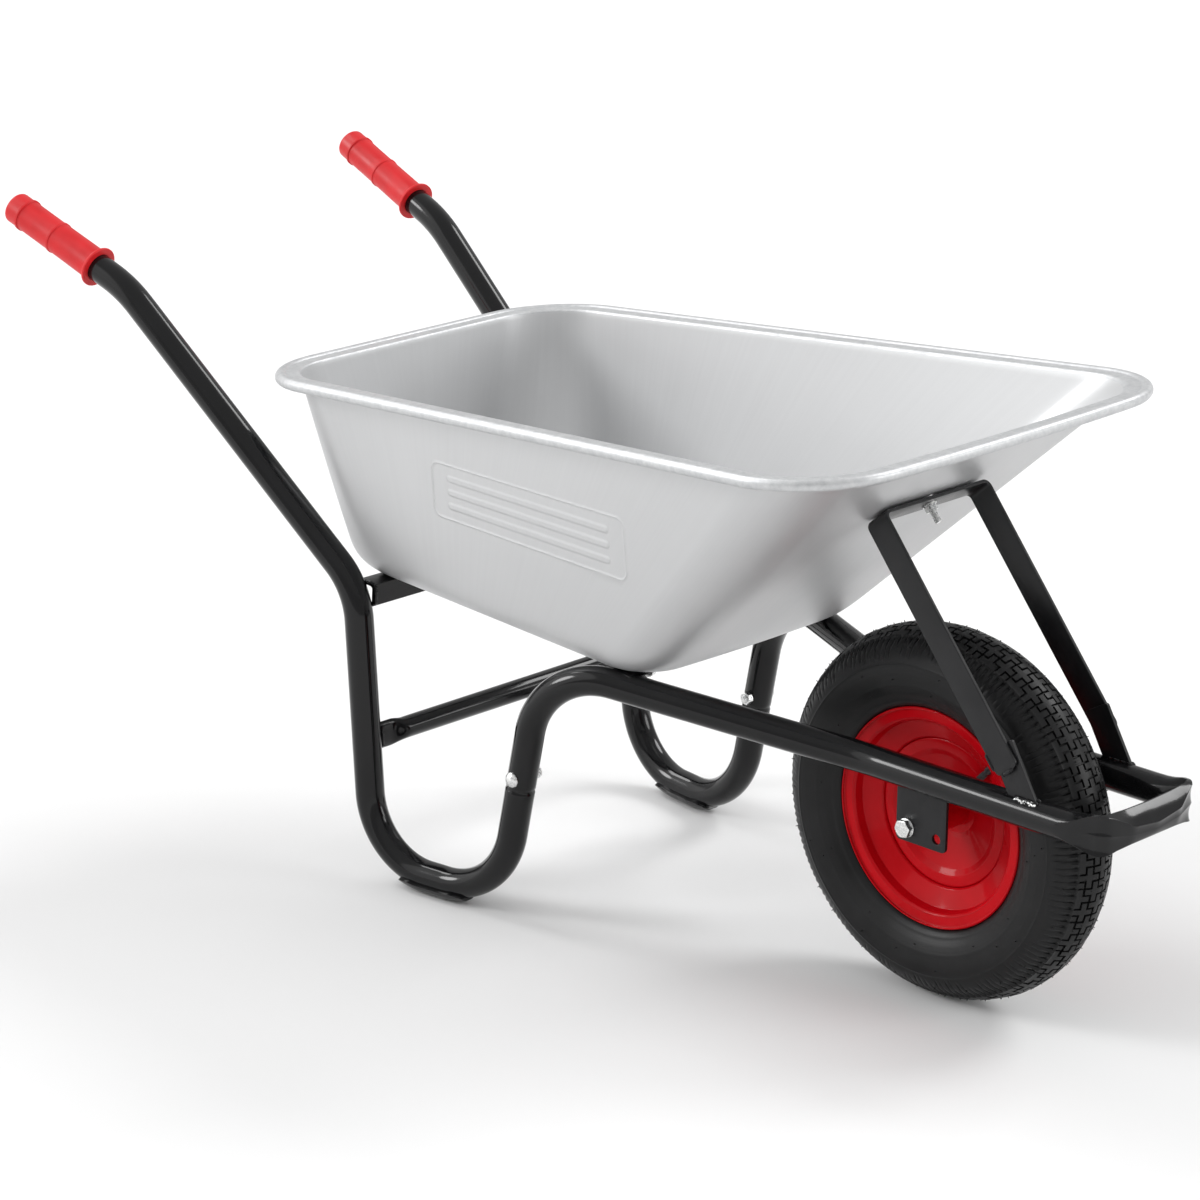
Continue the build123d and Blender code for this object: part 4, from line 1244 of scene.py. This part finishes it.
def hexagon(origin, direction, flats, height, bore, out, both=True, turn=0.0):
    """Nut or bolt head with 30 degree chamfers; a head has a closed top."""
    ang, ring, d = ring_about(direction, 48)
    sector = (ang + turn) % (TAU / 6) - TAU / 12
    edge = flats / 2 / np.cos(sector)
    round_r = flats / 2 * 0.955
    fall = (edge - round_r) * math.tan(math.radians(30))

    def at(z, r):
        z, r = np.reshape(z, (-1, 1)), np.reshape(r, (-1, 1))
        return np.asarray(origin, float) + d * z + ring * r

    rings = [at(0, max(bore, 0.4 * flats)), at(0, round_r if both else edge - 0.25),
             at(fall if both else 0.25, edge), at(height - fall, edge), at(height, round_r)]
    if bore:
        rings += [at(height, bore + 0.7), at(height - 0.7, bore), at(0.3, bore)]
        return out.rings(rings, loop=True)
    return out.rings(rings + [at(height, round_r * 0.5)])


def stud(origin, direction, start, end, r, pitch, out):
    """Threaded shank end with crests and roots."""
    depth = 0.61 * pitch
    count = max(2, int((end - start) / pitch))
    step = (end - start - 0.6) / count
    profile = [(start, r * 0.5), (start, r - depth)]
    for k in range(count):
        z = start + step * k
        profile += [(z + step * 0.08, r - depth), (z + step * 0.44, r), (z + step * 0.56, r),
                    (z + step * 0.92, r - depth)]
    profile += [(end - 0.5, r - depth), (end, r - depth - 0.5), (end, r * 0.3)]
    return spin(profile, origin, direction, 36, out)


def dome(origin, direction, r, height, out):
    """Mushroom head of a carriage bolt."""
    arc = [(height * math.sin(a), r * math.cos(a)) for a in np.linspace(0.12, 1.48, 12)]
    return spin([(-1.2, r * 0.5), (-1.2, r * 0.9), (-0.5, r * 0.985), (0.2, r)] + arc,
                origin, direction, 48, out)


def washer(origin, direction, inner, outer, thickness, out):
    e = 0.25
    profile = [(0, inner), (0, outer - e), (e, outer), (thickness - e, outer),
               (thickness, outer - e), (thickness, inner)]
    return spin(profile, origin, direction, 48, out, loop=True)


def both_sides(out):
    return out.join(out.mirrored())


def metal(build, name):
    return build.make(name + "_piece", "frame", "zinc_hardware", [ZINC], name, 30)


def carriage_bolt(seat, down, sheet, under, reach, turn, parts):
    """Bolt whose head lies on a sheet, with washer and nut below; parts are those three."""
    head, ring, nut = parts
    dome(seat - down * sheet, -down, 9, 4.5, head)
    stud(seat, down, 2, reach, M8_R, M8_PITCH, head)
    washer(seat + down * under, down, 4.2, 8, WASHER_T, ring)
    hexagon(seat + down * (under + WASHER_T), down, M8_FLATS, 6.5, M8_R, nut, True, turn)


def joint_hardware():
    heads, nuts = Build(), Build()
    dome(BOLT_POINT + JOINT_OUT * (TUBE_R - 0.3), JOINT_OUT, 8.5, 4.8, heads)
    stud(BOLT_POINT, -JOINT_OUT, 15, 26, M8_R, M8_PITCH, heads)
    hexagon(BOLT_POINT - JOINT_OUT * (TUBE_R - 0.2), -JOINT_OUT, M8_FLATS, 6.7, M8_R, nuts,
            True, 0.3)
    metal(both_sides(heads), "joint_bolts")
    metal(both_sides(nuts), "joint_nuts")


def tray_hardware():
    parts = Build(), Build(), Build()
    rng = random.Random(5)
    for (x, y), under, reach in ((REAR_BOLT, 3.0, 14), (LUG_BOLT, 4.0, 15)):
        for side in (-1, 1):
            carriage_bolt(on_floor(x, side * y), -FLOOR_UP, SHEET_T, under, reach,
                          rng.uniform(0, 1), parts)
    for piece, name in zip(parts, ("tray_bolts", "tray_washers", "tray_nuts")):
        metal(piece, name)


def brace_hardware():
    parts = Build(), Build(), Build()
    carriage_bolt(BRACE_HEAD, BRACE_DIR, 1.3, BRACE_T, 25, 0.2, parts)
    for piece, name in zip(parts, ("brace_bolt", "brace_washer", "brace_nut")):
        metal(piece, name)


def axle_hardware():
    bolt, nut, rings, sleeves = Build(), Build(), Build(), Build()
    seat = vec(0, -AXLE_SEAT, AXLE_Z)
    hexagon(seat, (0, -1, 0), M10_FLATS, 6.4, 0, bolt, False, 0.35)
    spin([(0, M10_R), (2 * AXLE_SEAT - 5, M10_R), (2 * AXLE_SEAT, 4.5)], seat, ALONG_Y, 40, bolt)
    stud(seat, ALONG_Y, 2 * AXLE_SEAT - 4, 2 * AXLE_SEAT + 11, M10_R, M10_PITCH, bolt)
    hexagon(vec(0, AXLE_SEAT, AXLE_Z), ALONG_Y, M10_FLATS, 8, M10_R, nut, True, 0.1)
    for side in (-1, 1):
        out = ALONG_Y * side
        washer(AXLE + out * (AXLE_SEAT - 2), out, 5.2, 10, 2, rings)
        profile = [(44.5, 5.2), (44.5, 7.6), (44.9, 8), (59.6, 8), (60, 7.6), (60, 5.2)]
        spin(profile, AXLE, out, 48, sleeves, loop=True)
    for piece, name in ((bolt, "axle_bolt"), (nut, "axle_nut"), (rings, "axle_washers"),
                        (sleeves, "spacer_sleeves")):
        metal(piece, name)


joint_hardware()
tray_hardware()
brace_hardware()
axle_hardware()


# ---- welds -------------------------------------------------------------------------------

def on_tube(path, x, angle, r=TUBE_R):
    """Point on a tube where its centre line passes x, at an angle from straight up outwards."""
    k = int(np.argmin(np.abs(path[:, 0] - x)))
    a, b = path[max(k - 1, 0)], path[min(k + 1, len(path) - 1)]
    t = unit(b - a)
    centre = path[k] + t * ((x - path[k][0]) / t[0])
    up = unit(vec(0, 0, 1) - t * t[2])
    side = np.cross(t, up)
    side = side * (-1 if side[1] > 0 else 1)
    return centre + r * (math.cos(angle) * up + math.sin(angle) * side)


FORK = refine(fillet_path([ARCH, FORK_BEND, (200, FORK_Y, FORK_Z)], [146], 2.5), 3)


def fork_height(y, side):
    """Height of the fork tube's surface at y; side is 1 on top and -1 underneath."""
    return FORK_Z + side * math.sqrt(TUBE_R ** 2 - (y - FORK_Y) ** 2)


def frame_welds():
    out = Build()
    # bracket plate under the fork tube, inside and outside
    for y in (2.6 - BRACKET_Y, -2.6 - BRACKET_Y):
        low = fork_height(y, -1)
        weld([(-13, y, low), (49, y, low)], 1.9, 3, out)
    # tab on top of the fork tube
    for y in (2.4 - TAB_Y, -2.4 - TAB_Y):
        top = fork_height(y, 1)
        weld([(143, y, top), (173, y, top)], 2.2, 4, out)
    # lug on the fork tube
    seam = [on_tube(FORK, x, -0.55) for x in (LUG_BOLT[0] - 15, LUG_BOLT[0] + 15)]
    weld(seam, 2.0, 5, out)
    return out


def strap_welds():
    out = Build()
    foot = BRACE_FOOT - vec(0, BRACE_Y - 0.5, 0)
    left = foot - BRACE_ACROSS * (BRACE_W / 2 + 0.4)
    weld([left - BRACE_DIR * 26, left - BRACE_DIR * 7], 1.7, 8, out)
    end = foot + BRACE_DIR * 0.6
    weld([end - BRACE_ACROSS * 9, end + BRACE_ACROSS * 8], 1.9, 9, out)
    return out


def member_welds():
    out = Build()
    knee_y, leg_y = -187.6, -189.6          # inner sides of the tubes
    for a, b in (((-1, -0.5), (-24, -0.5)), ((0.6, -1), (0.6, -24))):
        pts = [on_floor(ANGLE_X, knee_y) + FLOOR_X * u + FLOOR_UP * w for u, w in (a, b)]
        weld(pts, 2.0, 12, out)
    for side in (-1, 1):
        x = STAY_X + side * (STAY_FLAT + 0.2)
        weld([(x, leg_y, STAY_Z - 13), (x, leg_y, STAY_Z + 13)], 1.9, 13, out)
    return out


both_sides(frame_welds()).make("frame_weld_beads", "frame", "frame_black", [BLACK])
both_sides(strap_welds()).make("brace_weld_beads", "frame", "bracket_dark", [SATIN])
both_sides(member_welds()).make("cross_member_weld_beads", "frame", "frame_black", [BLACK])


def weld_spatter():
    """Bare weld metal at the foot of the tab, where it was welded after painting."""
    rng = random.Random(21)
    out = Build()

    def on_top(x, y, up=0.0):
        return vec(x, y, fork_height(y, 1) + up)

    line = [on_top(145 + 2.6 * k, -78.4 + rng.uniform(-1.5, 1.5), 0.2) for k in range(11)]
    weld(line, 1.3, 22, out)
    for k in range(11):
        spot = on_top(rng.uniform(146, 173), -78.6 + rng.uniform(-1.6, 1.2))
        r = rng.uniform(0.6, 1.7)
        arc = [(r * 0.8 * math.sin(a), r * math.cos(a)) for a in np.linspace(-0.4, 1.4, 6)]
        spin(arc, spot, (rng.uniform(-0.6, 0.6), -0.4, 1), 12, out)
    return out


both_sides(weld_spatter()).make("bare_weld_spatter", "frame", "zinc_hardware", [ZINC])

# hidden CAD parts that stay get their own finishes
for name, mat in (("inner_tube", VALVE), ("bearing_balls", STEEL), ("bearing_inner_rings", STEEL),
                  ("distance_tube", STEEL)):
    ob = bpy.data.objects[name]
    ob.data.materials.clear()
    ob.data.materials.append(mat)


# ---- floor, light and camera -------------------------------------------------------------

def stage():
    me = bpy.data.meshes.new("floor")
    r = 30.0
    me.from_pydata([(-r, -r, 0), (r, -r, 0), (r, r, 0), (-r, r, 0)], [], [(0, 1, 2, 3)])
    ob = placed("floor", me)
    mat, _, b = material("floor_pale", (0.82, 0.82, 0.82), 0.9)
    b.inputs["Specular IOR Level"].default_value = 0.15
    me.materials.append(mat)


def softbox(name, direction, width, radiance):
    """Round soft light far away; width in degrees, radiance as seen from the barrow."""
    light = bpy.data.lights.new(name, "SUN")
    light.angle = math.radians(width)
    light.energy = radiance * math.pi * math.sin(light.angle / 2) ** 2
    placed(name, light).matrix_world = facing(-np.array(direction))


def facing(direction, roll=0.0):
    """Turns something so that it looks along a direction."""
    f = unit(np.asarray(direction, float))
    right = unit(np.cross(f, (0, 0, 1)))
    up = np.cross(right, f)
    c, s = math.cos(roll), math.sin(roll)
    axes = np.array([right * c + up * s, up * c - right * s, -f])
    return Matrix(axes.T.tolist()).to_4x4()


def camera():
    cam = bpy.data.cameras.new("camera")
    cam.lens = 118.2
    cam.sensor_width = 36.0
    cam.clip_end = 100.0
    ob = placed("camera", cam)
    az, el = math.radians(44.698), math.radians(18.468)
    forward = (-math.sin(az) * math.cos(el), math.cos(az) * math.cos(el), -math.sin(el))
    at = (2.3548 + AXLE_M[0], -2.8810, 1.6561)
    ob.matrix_world = Matrix.Translation(at) @ facing(forward, math.radians(0.346))
    bpy.context.scene.camera = ob


stage()
for lamp in (
        ("back_left", (-0.67, -0.09, 0.74), 20, 8.0),
        ("back_right", (0.23, 0.67, 0.70), 24, 8.5),
        ("left", (-0.67, -0.60, 0.44), 18, 13.0),
        ("left_fill", (-0.67, -0.62, 0.36), 60, 0.9),
        ("right", (0.82, 0.50, 0.30), 24, 6.0),
        ("overhead", (0.05, 0.05, 1.0), 140, 0.16)):
    softbox(*lamp)
camera()

world = bpy.data.worlds.new("studio")
world.use_nodes = True
world.node_tree.nodes["Background"].inputs["Color"].default_value = (1, 1, 1, 1)
world.node_tree.nodes["Background"].inputs["Strength"].default_value = 0.5
bpy.context.scene.world = world
bpy.context.scene.view_settings.view_transform = "Standard"
